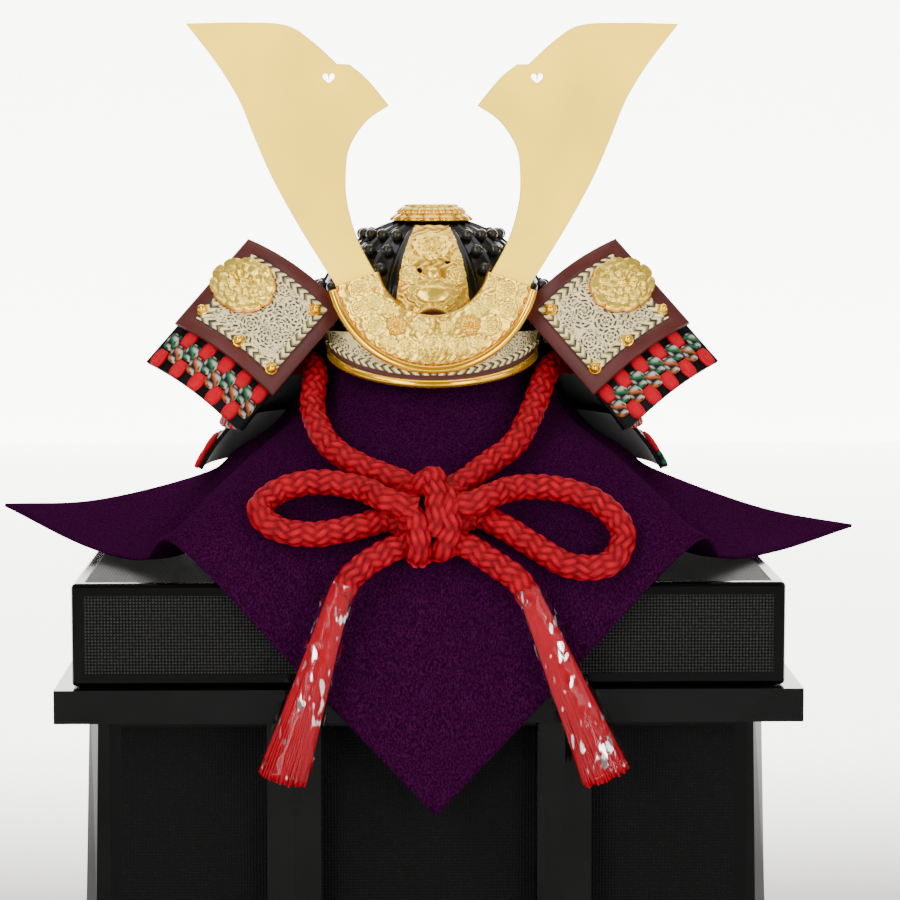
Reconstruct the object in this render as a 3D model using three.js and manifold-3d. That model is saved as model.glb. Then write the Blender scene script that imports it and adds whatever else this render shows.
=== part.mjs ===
// Kabuto samurai helmet on a cloth-draped display chest.
// Millimetres. +X is right as seen from the front, +Y is back, +Z is up. The floor is at Z = 0.

import * as THREE from 'three';
import { mergeVertices } from 'three/addons/utils/BufferGeometryUtils.js';
import { RoundedBoxGeometry } from 'three/addons/geometries/RoundedBoxGeometry.js';
import Module from 'manifold-3d';

const wasm = await Module();
wasm.setup();

// Driving sizes of the chest
const bodyWidth = 262;
const bodyDepth = 193;
const bodyHeight = 137;
const bodyClearance = 14;
const boardWall = 8;
const ledgeOut = 8.4;
const ledgeHeight = 13.6;
const lidWidth = 289;
const lidDepth = 220;
const lidHeight = 42;
const lidRound = 1.6;
const legWidth = 22;
const legTopDepth = 17;
const legFootDepth = 24;
const frontLegSpacing = 110;
const seatGap = 0.3;

// Driving sizes of the helmet
const helmetX = 2.4;
const rimRise = 96;
const bowlRadius = 52;
const bowlHeight = 49;
const bowlWall = 2.5;
const ribHeight = 0.9;
const plateCount = 24;
const rivetRadius = 2.4;
const rivetRows = 5;
const crownRadius = 18.5;
const crownHole = 4;
const visorReach = 19;
const visorDrop = 17;
const visorHalfWidth = 43;
const visorThickness = 1.8;
const rimWireRadius = 1.35;
const holderThickness = 1.6;
const hornHeight = 108;
const hornSpread = 105;
const hornThickness = 1.2;
const hornSweep = 12;
const flapWidth = 50;
const flapDrop = 49;
const flapThickness = 2.2;
const edgingWidth = 6;
const crestRadius = 12.7;
const crestPinRadius = 0.9;
const studRadius = 2.3;
const lameThickness = 1.6;

// Driving sizes of the cloth, its core and the cord
const clothSide = 350;
const clothThickness = 1.6;
const clothRun = 154;
const coreClearance = 0.7;
const cordDiameter = 10.4;
const tasselLength = 82;
const wrapWall = 0.5;

// Heights and radii that follow from the sizes above
const ledgeBottom = bodyClearance + bodyHeight;
const ledgeTop = ledgeBottom + ledgeHeight;
const lidBottom = ledgeTop + seatGap;
const lidTop = lidBottom + lidHeight;
const rimZ = lidTop + rimRise;
const ledgeWidth = lidWidth - 2 * lidRound + 2 * ledgeOut;
const ledgeDepth = lidDepth - 2 * lidRound + 2 * ledgeOut;
const shoulderRadius = bowlRadius - bowlWall - clothThickness / 2 - 3 * seatGap;

const finishes = {
  lacquer: { color: 0x0a0a0c, roughness: 0.22, metalness: 0 },
  crepe: { color: 0x2e1232, roughness: 0.85, metalness: 0 },
  core: { color: 0xcfc6b4, roughness: 0.9, metalness: 0 },
  steel: { color: 0x17171b, roughness: 0.3, metalness: 0.6 },
  reliefGold: { color: 0xf0cf6a, roughness: 0.35, metalness: 1 },
  rimGold: { color: 0xd9a441, roughness: 0.18, metalness: 1 },
  satinGold: { color: 0xf5de96, roughness: 0.42, metalness: 0.8 },
  printedLeather: { color: 0xe6dcb8, roughness: 0.7, metalness: 0 },
  edgeLeather: { color: 0x6b3030, roughness: 0.65, metalness: 0 },
  lame: { color: 0x101013, roughness: 0.3, metalness: 0.1 },
  redCord: { color: 0xc8101a, roughness: 0.7, metalness: 0 },
  film: { color: 0xf6e6e6, roughness: 0.05, metalness: 0 },
};

const vec = (x, y, z) => new THREE.Vector3(x, y, z);
const lerp = THREE.MathUtils.lerp;
const radians = THREE.MathUtils.degToRad;
const smooth = (value, from, to) => THREE.MathUtils.smoothstep(value, from, to);

// Mesh helpers

function closedGeometry(points, triangles) {
  const bare = new THREE.BufferGeometry();
  bare.setAttribute('position', new THREE.Float32BufferAttribute(points.flatMap((p) => p.toArray()), 3));
  bare.setIndex(triangles);
  return outward(bare);
}

// Merges shared corners, drops collapsed triangles and points the faces outwards.
function outward(geometry) {
  geometry.deleteAttribute('normal');
  geometry.deleteAttribute('uv');
  const merged = mergeVertices(geometry, 1e-4);
  const corner = merged.getAttribute('position');
  const index = merged.getIndex().array;
  const kept = [];
  let volume = 0;
  for (let i = 0; i < index.length; i += 3) {
    const [a, b, c] = [index[i], index[i + 1], index[i + 2]];
    if (a === b || b === c || c === a) continue;
    const [p, q, r] = [a, b, c].map((k) => vec().fromBufferAttribute(corner, k));
    volume += p.dot(q.cross(r));
    kept.push(a, b, c);
  }
  if (volume < 0) {
    for (let i = 0; i < kept.length; i += 3) {
      [kept[i], kept[i + 1]] = [kept[i + 1], kept[i]];
    }
  }
  merged.setIndex(kept);
  merged.computeVertexNormals();
  return merged;
}

// Skins a row of closed sections; a closed loft joins the last section to the first.
function loft(sections, isRing = false) {
  const count = sections[0].length;
  const spans = isRing ? sections.length : sections.length - 1;
  const triangles = [];
  for (let i = 0; i < spans; i += 1) {
    const a = i * count;
    const b = ((i + 1) % sections.length) * count;
    for (let j = 0; j < count; j += 1) {
      const k = (j + 1) % count;
      triangles.push(a + j, b + j, b + k, a + j, b + k, a + k);
    }
  }
  if (!isRing) {
    const last = (sections.length - 1) * count;
    for (let j = 1; j < count - 1; j += 1) {
      triangles.push(0, j, j + 1, last, last + j + 1, last + j);
    }
  }
  return closedGeometry(sections.flat(), triangles);
}

// Gives a surface(u, v), with u and v from 0 to 1, a front and a back face along its normal.
// A wrapped sheet closes on itself in u, and a poled one gathers its v = 0 edge in one point.
function sheet(surface, across, along, front, back, { wrapped = false, poled = false } = {}) {
  const nudge = 1e-4;
  const columns = wrapped ? across : across + 1;
  const rows = along + 1;
  const points = [];
  const triangles = [];
  for (const face of [front, back]) {
    for (let i = 0; i < columns; i += 1) {
      for (let j = 0; j < rows; j += 1) {
        const u = i / across;
        const v = j / along;
        const w = poled && j === 0 ? nudge * 10 : v;
        const alongU = surface(u + nudge, w).sub(surface(u - nudge, w));
        const alongV = surface(u, w + nudge).sub(surface(u, w - nudge));
        const normal = alongU.cross(alongV).normalize();
        if (poled && j === 0) normal.copy(poleNormal(surface));
        const rise = typeof face === 'function' ? face(u, v) : face;
        points.push(surface(u, v).addScaledVector(normal, rise));
      }
    }
  }
  const at = (side, i, j) => side * columns * rows + (i % columns) * rows + j;
  const quad = (a, b, c, d) => triangles.push(a, b, c, a, c, d);
  for (let i = 0; i < across; i += 1) {
    for (let j = 0; j < along; j += 1) {
      quad(at(0, i, j), at(0, i + 1, j), at(0, i + 1, j + 1), at(0, i, j + 1));
      quad(at(1, i, j), at(1, i, j + 1), at(1, i + 1, j + 1), at(1, i + 1, j));
    }
    quad(at(0, i, along), at(0, i + 1, along), at(1, i + 1, along), at(1, i, along));
    if (!poled) quad(at(0, i, 0), at(1, i, 0), at(1, i + 1, 0), at(0, i + 1, 0));
  }
  if (!wrapped) {
    for (let j = 0; j < along; j += 1) {
      quad(at(0, 0, j), at(0, 0, j + 1), at(1, 0, j + 1), at(1, 0, j));
      quad(at(0, across, j), at(1, across, j), at(1, across, j + 1), at(0, across, j + 1));
    }
  }
  return closedGeometry(points, triangles);
}

// The mean direction that a poled surface faces at its pole.
function poleNormal(surface) {
  const centre = surface(0, 0);
  const spokes = [0, 1, 2, 3].map((k) => surface(k / 4, 0.05).sub(centre));
  return spokes[0].cross(spokes[1]).add(spokes[2].cross(spokes[3])).normalize();
}

// A tube of round section along a smooth line through the points.
function tube(route, radius, sides, steps) {
  const section = new THREE.Shape().absarc(0, 0, radius, 0, 2 * Math.PI);
  const path = new THREE.CatmullRomCurve3(route, false, 'centripetal');
  return outward(new THREE.ExtrudeGeometry(section, {
    extrudePath: path,
    steps,
    curveSegments: sides / 2,
  }));
}

function toSolid(geometry) {
  const plain = outward(geometry);
  return new wasm.Manifold(new wasm.Mesh({
    numProp: 3,
    vertProperties: new Float32Array(plain.getAttribute('position').array),
    triVerts: new Uint32Array(plain.getIndex().array),
  }));
}

function fromSolid(solid) {
  const mesh = solid.getMesh();
  const geometry = new THREE.BufferGeometry();
  geometry.setAttribute('position', new THREE.Float32BufferAttribute(mesh.vertProperties, 3));
  geometry.setIndex(Array.from(mesh.triVerts));
  return outward(geometry);
}

function joined(geometries) {
  return fromSolid(geometries.map(toSolid).reduce((whole, piece) => whole.add(piece)));
}

const cut = (geometry, cutter) => fromSolid(toSolid(geometry).subtract(toSolid(cutter)));

// Reflects a left-hand piece to the right-hand side.
const mirrored = (geometry) => outward(geometry.clone().scale(-1, 1, 1));

const assembly = new THREE.Group();
const chest = new THREE.Group();
const helmet = new THREE.Group();
helmet.position.set(helmetX, 0, rimZ);
assembly.add(chest, helmet);

function add(group, name, geometry, finish) {
  const mesh = new THREE.Mesh(geometry, new THREE.MeshStandardMaterial(finishes[finish]));
  mesh.name = name;
  group.add(mesh);
  return mesh;
}

function addPair(group, name, leftGeometry, finish) {
  add(group, `${name}_left`, leftGeometry, finish);
  add(group, `${name}_right`, mirrored(leftGeometry), finish);
}

// Chest

function box(width, depth, bottom, top) {
  return new THREE.BoxGeometry(width, depth, top - bottom).translate(0, 0, (top + bottom) / 2);
}

function chestBody() {
  const shell = box(bodyWidth, bodyDepth, bodyClearance, ledgeBottom - seatGap);
  const inside = box(
    bodyWidth - 2 * boardWall,
    bodyDepth - 2 * boardWall,
    bodyClearance + boardWall,
    ledgeTop,
  );
  return cut(shell, inside);
}

function chestLedge() {
  const board = box(ledgeWidth, ledgeDepth, ledgeBottom, ledgeTop);
  const mouth = box(bodyWidth - 2 * boardWall, bodyDepth - 2 * boardWall, 0, lidTop);
  return cut(board, mouth);
}

function chestLid() {
  const block = new RoundedBoxGeometry(lidWidth, lidDepth, lidHeight, 1, lidRound);
  block.translate(0, 0, (lidBottom + lidTop) / 2);
  const inside = box(
    lidWidth - 2 * boardWall,
    lidDepth - 2 * boardWall,
    0,
    lidTop - boardWall,
  );
  return cut(block, inside);
}

// A bracket leg with a ridge down its face, deeper at the foot than under the ledge.
function chestLeg() {
  const section = (depth, z) => [
    vec(-legWidth / 2, 0, z),
    vec(legWidth / 2, 0, z),
    vec(legWidth / 2, -depth * 0.72, z),
    vec(0, -depth, z),
    vec(-legWidth / 2, -depth * 0.72, z),
  ];
  const flareStart = ledgeBottom * 0.55;
  return loft([
    section(legFootDepth, 0),
    section(lerp(legFootDepth, legTopDepth, 0.62), flareStart * 0.6),
    section(legTopDepth, ledgeBottom - seatGap),
  ]);
}

const legPlaces = [
  { name: 'front_left', x: -frontLegSpacing / 2, y: -bodyDepth / 2, turn: 0 },
  { name: 'front_right', x: frontLegSpacing / 2, y: -bodyDepth / 2, turn: 0 },
  { name: 'back_left', x: -frontLegSpacing / 2, y: bodyDepth / 2, turn: 180 },
  { name: 'back_right', x: frontLegSpacing / 2, y: bodyDepth / 2, turn: 180 },
  { name: 'side_left', x: -bodyWidth / 2, y: 0, turn: -90 },
  { name: 'side_right', x: bodyWidth / 2, y: 0, turn: 90 },
];

add(chest, 'chest_body', chestBody(), 'lacquer');
add(chest, 'chest_ledge', chestLedge(), 'lacquer');
add(chest, 'chest_lid', chestLid(), 'lacquer');
for (const place of legPlaces) {
  const leg = add(chest, `leg_${place.name}`, chestLeg(), 'lacquer');
  const stand = vec(0, -seatGap, 0).applyAxisAngle(vec(0, 0, 1), radians(place.turn));
  leg.position.set(place.x + stand.x, place.y + stand.y, 0);
  leg.rotation.z = radians(place.turn);
}

// Cloth. Each row is a spoke from the crown of the core to the hem, on the left half.
// clothAngle is its angle on the flat cloth from the front corner, beltAngle its angle round the core.
// hemX and hemY place the hem as shares of the ledge's half width and half depth.
// atA to atD are shares of the way out from belt to hem, highA to highE shares of the belt's height
// above the lid. dropE is the share of the hanging length by which a corner falls below the lid.
const clothSpokes = [
  { clothAngle: 0, beltAngle: 0, hemX: 0, hemY: -1.03,
    atA: 0.15, highA: 0.83, atB: 0.53, highB: 0.43, atC: 0.89, highC: 0.044, atD: 0.985, highD: -0.48,
    highE: 0, dropE: 1 },
  { clothAngle: 19, beltAngle: 26, hemX: -0.342, hemY: -1.02,
    atA: 0.14, highA: 0.82, atB: 0.5, highB: 0.45, atC: 0.86, highC: 0.14, atD: 0.97, highD: -0.13,
    highE: 0, dropE: 0.41 },
  { clothAngle: 38, beltAngle: 56, hemX: -0.7, hemY: -0.965,
    atA: 0.12, highA: 0.77, atB: 0.48, highB: 0.51, atC: 0.76, highC: 0.34, atD: 0.9, highD: 0.245,
    highE: 0.195, dropE: 0 },
  { clothAngle: 50, beltAngle: 68, hemX: -0.79, hemY: -0.68,
    atA: 0.1, highA: 0.73, atB: 0.34, highB: 0.34, atC: 0.6, highC: 0.13, atD: 0.82, highD: 0.07,
    highE: 0.07, dropE: 0 },
  { clothAngle: 68, beltAngle: 82, hemX: -0.98, hemY: -0.23,
    atA: 0.1, highA: 0.73, atB: 0.36, highB: 0.38, atC: 0.6, highC: 0.2, atD: 0.82, highD: 0.09,
    highE: 0.05, dropE: 0 },
  { clothAngle: 90, beltAngle: 97, hemX: -1.283, hemY: 0.47,
    atA: 0.08, highA: 0.7, atB: 0.24, highB: 0.47, atC: 0.37, highC: 0.33, atD: 0.7, highD: 0.185,
    highE: 0.14, dropE: 0 },
  { clothAngle: 112, beltAngle: 114, hemX: -0.93, hemY: 0.75,
    atA: 0.08, highA: 0.7, atB: 0.3, highB: 0.31, atC: 0.55, highC: 0.13, atD: 0.8, highD: 0.065,
    highE: 0.05, dropE: 0 },
  { clothAngle: 142, beltAngle: 136, hemX: -0.68, hemY: 0.95,
    atA: 0.08, highA: 0.72, atB: 0.42, highB: 0.34, atC: 0.72, highC: 0.21, atD: 0.9, highD: 0.15,
    highE: 0.12, dropE: 0 },
  { clothAngle: 161, beltAngle: 158, hemX: -0.335, hemY: 1.02,
    atA: 0.09, highA: 0.72, atB: 0.48, highB: 0.37, atC: 0.86, highC: 0.13, atD: 0.97, highD: -0.13,
    highE: 0, dropE: 0.38 },
  { clothAngle: 180, beltAngle: 180, hemX: 0, hemY: 1.03,
    atA: 0.1, highA: 0.72, atB: 0.5, highB: 0.38, atC: 0.89, highC: 0.044, atD: 0.985, highD: -0.46,
    highE: 0, dropE: 0.9 },
];

// How far each right-hand spoke hangs below its left-hand twin, as a share of the belt's height.
const rightDroop = [
  { clothAngle: 50, fall: 0 },
  { clothAngle: 68, fall: 0.03 },
  { clothAngle: 90, fall: 0.115 },
  { clothAngle: 112, fall: 0 },
];

const clothHang = clothSide / Math.SQRT2 - clothRun;
const beltHeight = rimRise - 5;
const beltRadius = shoulderRadius + 0.5;
const crownHeight = Math.sqrt(1 - 0.72 ** 2) * shoulderRadius;

// The cloth's stations that every spoke shares, over the top of the core.
const crownStations = [
  { radius: 0, height: rimRise + crownHeight * 0.8 },
  { radius: shoulderRadius * 0.66, height: rimRise + crownHeight * 0.8 },
  { radius: shoulderRadius * 0.9, height: rimRise + shoulderRadius * 0.41 },
  { radius: shoulderRadius, height: rimRise + 3 },
  { radius: beltRadius, height: beltHeight },
];

// One spoke as a list of stations, each an angle, a radius and a height above the lid.
function spokeStations(row, side) {
  const hem = vec((row.hemX * ledgeWidth) / 2, (row.hemY * ledgeDepth) / 2, 0);
  const hemAngle = Math.atan2(Math.abs(hem.x), -hem.y);
  const hemRadius = Math.hypot(hem.x, hem.y);
  const droop = rightDroop.find((entry) => entry.clothAngle === row.clothAngle);
  const fall = side > 0 && droop ? droop.fall : 0;
  const stations = crownStations.map((station) => ({ ...station, angle: radians(row.beltAngle) }));
  const outer = [
    { share: row.atA, height: row.highA * beltHeight },
    { share: row.atB, height: row.highB * beltHeight },
    { share: row.atC, height: row.highC * beltHeight },
    { share: row.atD, height: (row.highD - fall * 0.5) * beltHeight },
    { share: 1, height: (row.highE - fall) * beltHeight - row.dropE * clothHang },
  ];
  for (const { share, height } of outer) {
    stations.push({
      angle: lerp(radians(row.beltAngle), hemAngle, share),
      radius: lerp(beltRadius, hemRadius, share),
      height,
    });
  }
  return stations;
}

// A smooth curve through values at uneven knots, with free ends.
function throughKnots(knots, values, at) {
  let k = 0;
  while (k < knots.length - 2 && at > knots[k + 1]) k += 1;
  const slope = (i) => (values[i + 1] - values[i]) / (knots[i + 1] - knots[i]);
  const tangent = (i) => {
    if (i === 0) return slope(0);
    if (i === knots.length - 1) return slope(i - 1);
    return (slope(i - 1) + slope(i)) / 2;
  };
  const span = knots[k + 1] - knots[k];
  const s = (at - knots[k]) / span;
  const bend = s * s * (3 - 2 * s);
  const pull = s * (1 - s) * span * ((1 - s) * tangent(k) - s * tangent(k + 1));
  return lerp(values[k], values[k + 1], bend) + pull;
}

const stationKnots = [0, 0.13, 0.19, 0.24, 0.28, 0.36, 0.54, 0.74, 0.88, 1];

// All spokes round the cloth in order, with the right-hand ones counted back from the back corner.
const ringSpokes = [
  ...clothSpokes.map((row) => ({ knot: row.clothAngle, side: -1, stations: spokeStations(row, -1) })),
  ...clothSpokes.slice(1, -1).reverse().map((row) => (
    { knot: 360 - row.clothAngle, side: 1, stations: spokeStations(row, 1) }
  )),
];

// The spokes of one quarter, from corner to corner, or of the whole ring with its ends overlapped.
function quarterSpokes(clothAngle) {
  const start = Math.min(3, Math.floor(clothAngle / 90)) * 90;
  const ring = [...ringSpokes, { ...ringSpokes[0], knot: 360 }];
  return ring.filter((spoke) => spoke.knot >= start && spoke.knot <= start + 90);
}

const lapped = [
  ...ringSpokes.slice(-2).map((spoke) => ({ ...spoke, knot: spoke.knot - 360 })),
  ...ringSpokes,
  ...ringSpokes.slice(0, 2).map((spoke) => ({ ...spoke, knot: spoke.knot + 360 })),
];

// Where a set of spokes puts the point at a cloth angle and a share of the way out.
function onSpokes(spokes, clothAngle, out) {
  const knots = spokes.map((spoke) => spoke.knot);
  const reading = (value) => throughKnots(knots, spokes.map((spoke) => (
    throughKnots(stationKnots, spoke.stations.map((station) => value(station, spoke.side)), out)
  )), clothAngle);
  return vec(
    reading((station, side) => side * Math.sin(station.angle) * station.radius),
    reading((station) => -Math.cos(station.angle) * station.radius),
    reading((station) => station.height),
  );
}

// The draped cloth: turn goes round the flat cloth from its front corner, out runs from crown to hem.
// It is smooth round the core, and its four corners are sharp at the hem.
function clothPoint(turn, out) {
  const clothAngle = (((turn % 1) + 1) % 1) * 360;
  const point = onSpokes(lapped, clothAngle, out);
  point.lerp(onSpokes(quarterSpokes(clothAngle), clothAngle, out), smooth(out, 0.6, 0.95));
  return point.add(vec(helmetX, 0, lidTop));
}

// The cloth's mesh lines: every spoke and station, and a line between those that lie far apart.
const clothRows = [0, 0.13, 0.19, 0.24, 0.28, 0.36, 0.45, 0.54, 0.64, 0.74, 0.81, 0.88, 1];
const halfColumns = [0, 9.5, 19, 28.5, 38, 44, 50, 59, 68, 79, 90, 101, 112, 127, 142, 151.5, 161, 170.5];
const clothColumns = [...halfColumns, 180, ...halfColumns.slice(1).reverse().map((angle) => 360 - angle)];

function clothSheet() {
  const between = (lines, place) => {
    const k = Math.min(lines.length - 2, Math.max(0, Math.floor(place)));
    return lerp(lines[k], lines[k + 1], place - k);
  };
  const angles = [...clothColumns, 360];
  const across = clothColumns.length;
  const along = clothRows.length - 1;
  const point = (u, v) => clothPoint(between(angles, u * across) / 360, between(clothRows, v * along));
  return sheet(point, across, along, clothThickness / 2, -clothThickness / 2, { wrapped: true, poled: true });
}

// The core: a plain turned block under the cloth.
function coreStand() {
  const gap = clothThickness / 2 + coreClearance;
  const profile = [
    new THREE.Vector2(0, seatGap),
    new THREE.Vector2(beltRadius - 1, seatGap),
    new THREE.Vector2(shoulderRadius - gap, beltHeight * 0.62),
    new THREE.Vector2(shoulderRadius - gap, rimRise + 2),
    new THREE.Vector2(shoulderRadius * 0.9 - gap, rimRise + shoulderRadius * 0.39),
    new THREE.Vector2(shoulderRadius * 0.64 - gap, rimRise + crownHeight * 0.8 - gap - 0.4),
    new THREE.Vector2(0, rimRise + crownHeight * 0.8 - gap - 0.4),
  ];
  return outward(new THREE.LatheGeometry(profile, 28).rotateX(Math.PI / 2));
}

const core = add(chest, 'core_stand', coreStand(), 'core');
core.position.set(helmetX, 0, lidTop);
add(chest, 'cloth', clothSheet(), 'crepe');

// Helmet pieces are drawn round the bowl's axis, with the bowl's rim at Z = 0.

function bowlPoint(azimuth, elevation, lift = 0) {
  const radius = bowlRadius + lift;
  return vec(
    radius * Math.cos(elevation) * Math.sin(azimuth),
    -radius * Math.cos(elevation) * Math.cos(azimuth),
    (bowlHeight + lift) * Math.sin(elevation),
  );
}

const crownMouth = Math.acos((crownHole + 3) / bowlRadius);
const frontPlateHalf = radians(17.3);
const rivetTop = 56;
const rivetBottom = 12;

// The bowl's wall: a raised rib between plates, and a row of ball rivets down each plate.
function bowl() {
  const columns = plateCount * 2;
  const pitch = (rivetTop - rivetBottom) / (rivetRows - 1);
  const levels = [0];
  for (let k = -1; k < rivetRows * 2; k += 1) levels.push(radians(rivetBottom + (k * pitch) / 2));
  levels.push(crownMouth);
  const rows = levels.length - 1;
  const level = (v) => {
    const k = Math.min(rows - 1, Math.max(0, Math.floor(v * rows)));
    return lerp(levels[k], levels[k + 1], v * rows - k);
  };
  const rise = (u, v) => {
    const column = Math.round(u * columns) % columns;
    const row = Math.round(v * rows);
    const plate = Math.min(column, columns - column) / 2;
    if (column % 2) return ribHeight;
    return plate >= 2 && row % 2 === 0 && row > 0 && row < rows ? rivetRadius * 1.25 : 0;
  };
  return sheet((u, v) => bowlPoint(2 * Math.PI * u, level(v)), columns, rows, rise, -bowlWall, { wrapped: true });
}

// The open petal disc over the bowl's crown.
function crownOrnament() {
  const under = bowlHeight + ribHeight + seatGap;
  const drop = (radius) => bowlHeight * (1 - Math.sqrt(1 - (radius / bowlRadius) ** 2));
  const profile = [
    { radius: crownHole, height: under },
    { radius: crownRadius * 0.6, height: under - drop(crownRadius * 0.6) },
    { radius: crownRadius, height: under - drop(crownRadius) + 0.5 },
    { radius: crownRadius, height: under - drop(crownRadius) + 2.6 },
    { radius: crownRadius * 0.75, height: under + 0.9 },
    { radius: crownRadius * 0.68, height: under + 1.3 },
    { radius: crownRadius * 0.68, height: under + 3.8 },
    { radius: crownHole, height: under + 4.3 },
  ];
  const petals = 12;
  const sections = [];
  for (let i = 0; i < petals * 2; i += 1) {
    const angle = (i / (petals * 2)) * 2 * Math.PI;
    const petal = i % 2 ? 0.955 : 1;
    sections.push(profile.map(({ radius, height }, k) => {
      const reach = k === 0 || k === profile.length - 1 ? radius : radius * petal;
      return vec(reach * Math.cos(angle), reach * Math.sin(angle), height);
    }));
  }
  return loft(sections, true);
}

const dome = (distance, radius, height) => height * Math.sqrt(Math.max(0, 1 - (distance / radius) ** 2));

// Raised flowers on the front plate, by elevation in degrees and radius and height in millimetres.
const plateFlowers = [
  { elevation: 53, radius: 8.4, height: 2.2 },
  { elevation: 33, radius: 4.6, height: 2.4 },
  { elevation: 22.5, radius: 9.5, height: 2.6 },
];

function frontPlate() {
  const lowest = radians(10);
  const highest = radians(64);
  const point = (u, v) => bowlPoint(lerp(-frontPlateHalf, frontPlateHalf, u), lerp(lowest, highest, v));
  const relief = (u, v) => {
    const azimuth = lerp(-frontPlateHalf, frontPlateHalf, u);
    const elevation = lerp(lowest, highest, v);
    const heights = plateFlowers.map((flower) => {
      const away = Math.hypot(
        azimuth * bowlRadius * Math.cos(elevation),
        (elevation - radians(flower.elevation)) * bowlRadius,
      );
      return dome(away, flower.radius, flower.height);
    });
    return ribHeight + seatGap + 1.2 + Math.max(0, ...heights);
  };
  return sheet(point, 8, 10, relief, ribHeight + seatGap);
}

// The visor's outer edge, from its left end (share -1) to its right end (share 1).
function visorEdge(share) {
  const swing = radians(80) * share;
  return vec(
    (visorHalfWidth * Math.sin(swing)) / Math.sin(radians(80)),
    -bowlRadius - visorReach + 38 * (1 - Math.cos(swing)),
    -visorDrop + visorDrop * 0.9 * (1 - Math.cos(radians(75) * share)),
  );
}

function visorRoot(share) {
  const azimuth = radians(57) * share;
  const radius = bowlRadius + ribHeight + visorThickness / 2 + seatGap;
  return vec(radius * Math.sin(azimuth), -radius * Math.cos(azimuth), 1);
}

function visor() {
  const point = (u, v) => visorRoot(2 * u - 1).lerp(visorEdge(2 * u - 1), v);
  return sheet(point, 16, 2, visorThickness / 2, -visorThickness / 2);
}

function visorRim() {
  const route = [];
  for (let i = 0; i <= 16; i += 1) {
    const share = (i / 16) * 2 - 1;
    const along = visorEdge(share + 0.01).sub(visorEdge(share - 0.01)).normalize();
    const outwards = visorEdge(share).sub(visorRoot(share));
    outwards.addScaledVector(along, -outwards.dot(along)).normalize();
    route.push(visorEdge(share).addScaledVector(outwards, rimWireRadius + 1.5 * seatGap));
  }
  return tube(route, rimWireRadius, 6, 16);
}

// The crescent horn holder between two arcs, bent round the bowl and leaning back.
const holderInner = { radius: 23.2, centre: 33.1, half: 76.6 };
const holderOuter = { radius: 41.4, centre: 30.5, half: 77.4 };
const holderStand = -bowlRadius - 16;
const holderRelief = 0.9;
const holderBend = 120;
const holderLean = 0.12;

function onHolder(x, z) {
  const lowest = holderOuter.centre - holderOuter.radius;
  return vec(x, holderStand + (x * x) / (2 * holderBend) + (z - lowest) * holderLean, z);
}

function holderArc(arc, share, grow = 0) {
  const angle = radians(arc.half) * share;
  const radius = arc.radius + grow;
  return onHolder(radius * Math.sin(angle), arc.centre - radius * Math.cos(angle));
}

function hornHolder() {
  const point = (u, v) => holderArc(holderOuter, 2 * u - 1).lerp(holderArc(holderInner, 2 * u - 1), v);
  const relief = (u, v) => holderThickness / 2 + holderRelief * Math.sin(Math.PI * v);
  return sheet(point, 24, 3, relief, -holderThickness / 2);
}

function holderRim() {
  const route = [];
  const grown = rimWireRadius + seatGap;
  for (let i = 0; i <= 18; i += 1) {
    const edge = holderArc(holderOuter, ((i / 18) * 2 - 1) * 0.98, grown);
    route.push(edge.add(vec(0, -1.6, 0)));
  }
  return tube(route, rimWireRadius, 6, 18);
}

// A petalled stud head on the holder.
function holderStud() {
  const profile = [
    { radius: 4.3, height: 0 },
    { radius: 4.3, height: 1 },
    { radius: 2.4, height: 1.9 },
    { radius: 1.5, height: 3 },
  ];
  const sections = profile.map(({ radius, height }, k) => {
    const ring = [];
    for (let i = 0; i < 16; i += 1) {
      const angle = (i / 16) * 2 * Math.PI;
      const reach = k < 2 && i % 2 ? radius * 0.86 : radius;
      ring.push(vec(reach * Math.cos(angle), reach * Math.sin(angle), height));
    }
    return ring;
  });
  return loft(sections);
}

const studX = 15.1;
const studZ = 5.6;

function placedStud(side) {
  const seat = onHolder(studX * side, studZ);
  const facing = vec(side * -studX / holderBend, 1, -holderLean).normalize().negate();
  const stud = holderStud();
  stud.applyQuaternion(new THREE.Quaternion().setFromUnitVectors(vec(0, 0, 1), facing));
  const lift = holderThickness / 2 + holderRelief + seatGap;
  return outward(stud.translate(...seat.addScaledVector(facing, lift).toArray()));
}

// A horn's outline as shares of the horn's spread and height, from its foot round to its foot.
const hornBack = [
  { across: 0.395, up: 0 },
  { across: 0.454, up: 0.088 },
  { across: 0.542, up: 0.223 },
  { across: 0.645, up: 0.399 },
  { across: 0.72, up: 0.56 },
  { across: 0.784, up: 0.708 },
  { across: 0.875, up: 0.849 },
  { across: 0.998, up: 1 },
];
const hornTop = [
  { across: 0.8, up: 1.002 },
  { across: 0.6, up: 0.992 },
  { across: 0.49, up: 0.93 },
  { across: 0.387, up: 0.841 },
];
const hornLobe = [
  { across: 0.339, up: 0.84 },
  { across: 0.285, up: 0.8 },
  { across: 0.236, up: 0.75 },
  { across: 0.181, up: 0.685 },
];
const hornFront = [
  { across: 0.271, up: 0.625 },
  { across: 0.339, up: 0.525 },
  { across: 0.355, up: 0.415 },
  { across: 0.348, up: 0.307 },
  { across: 0.308, up: 0.173 },
  { across: 0.236, up: 0.042 },
];
const hornHeart = { across: 0.42, up: 0.79, size: 5.6 };
const hornBase = 22.5;
const hornStem = 12;
const hornBehind = 4.6;

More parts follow.
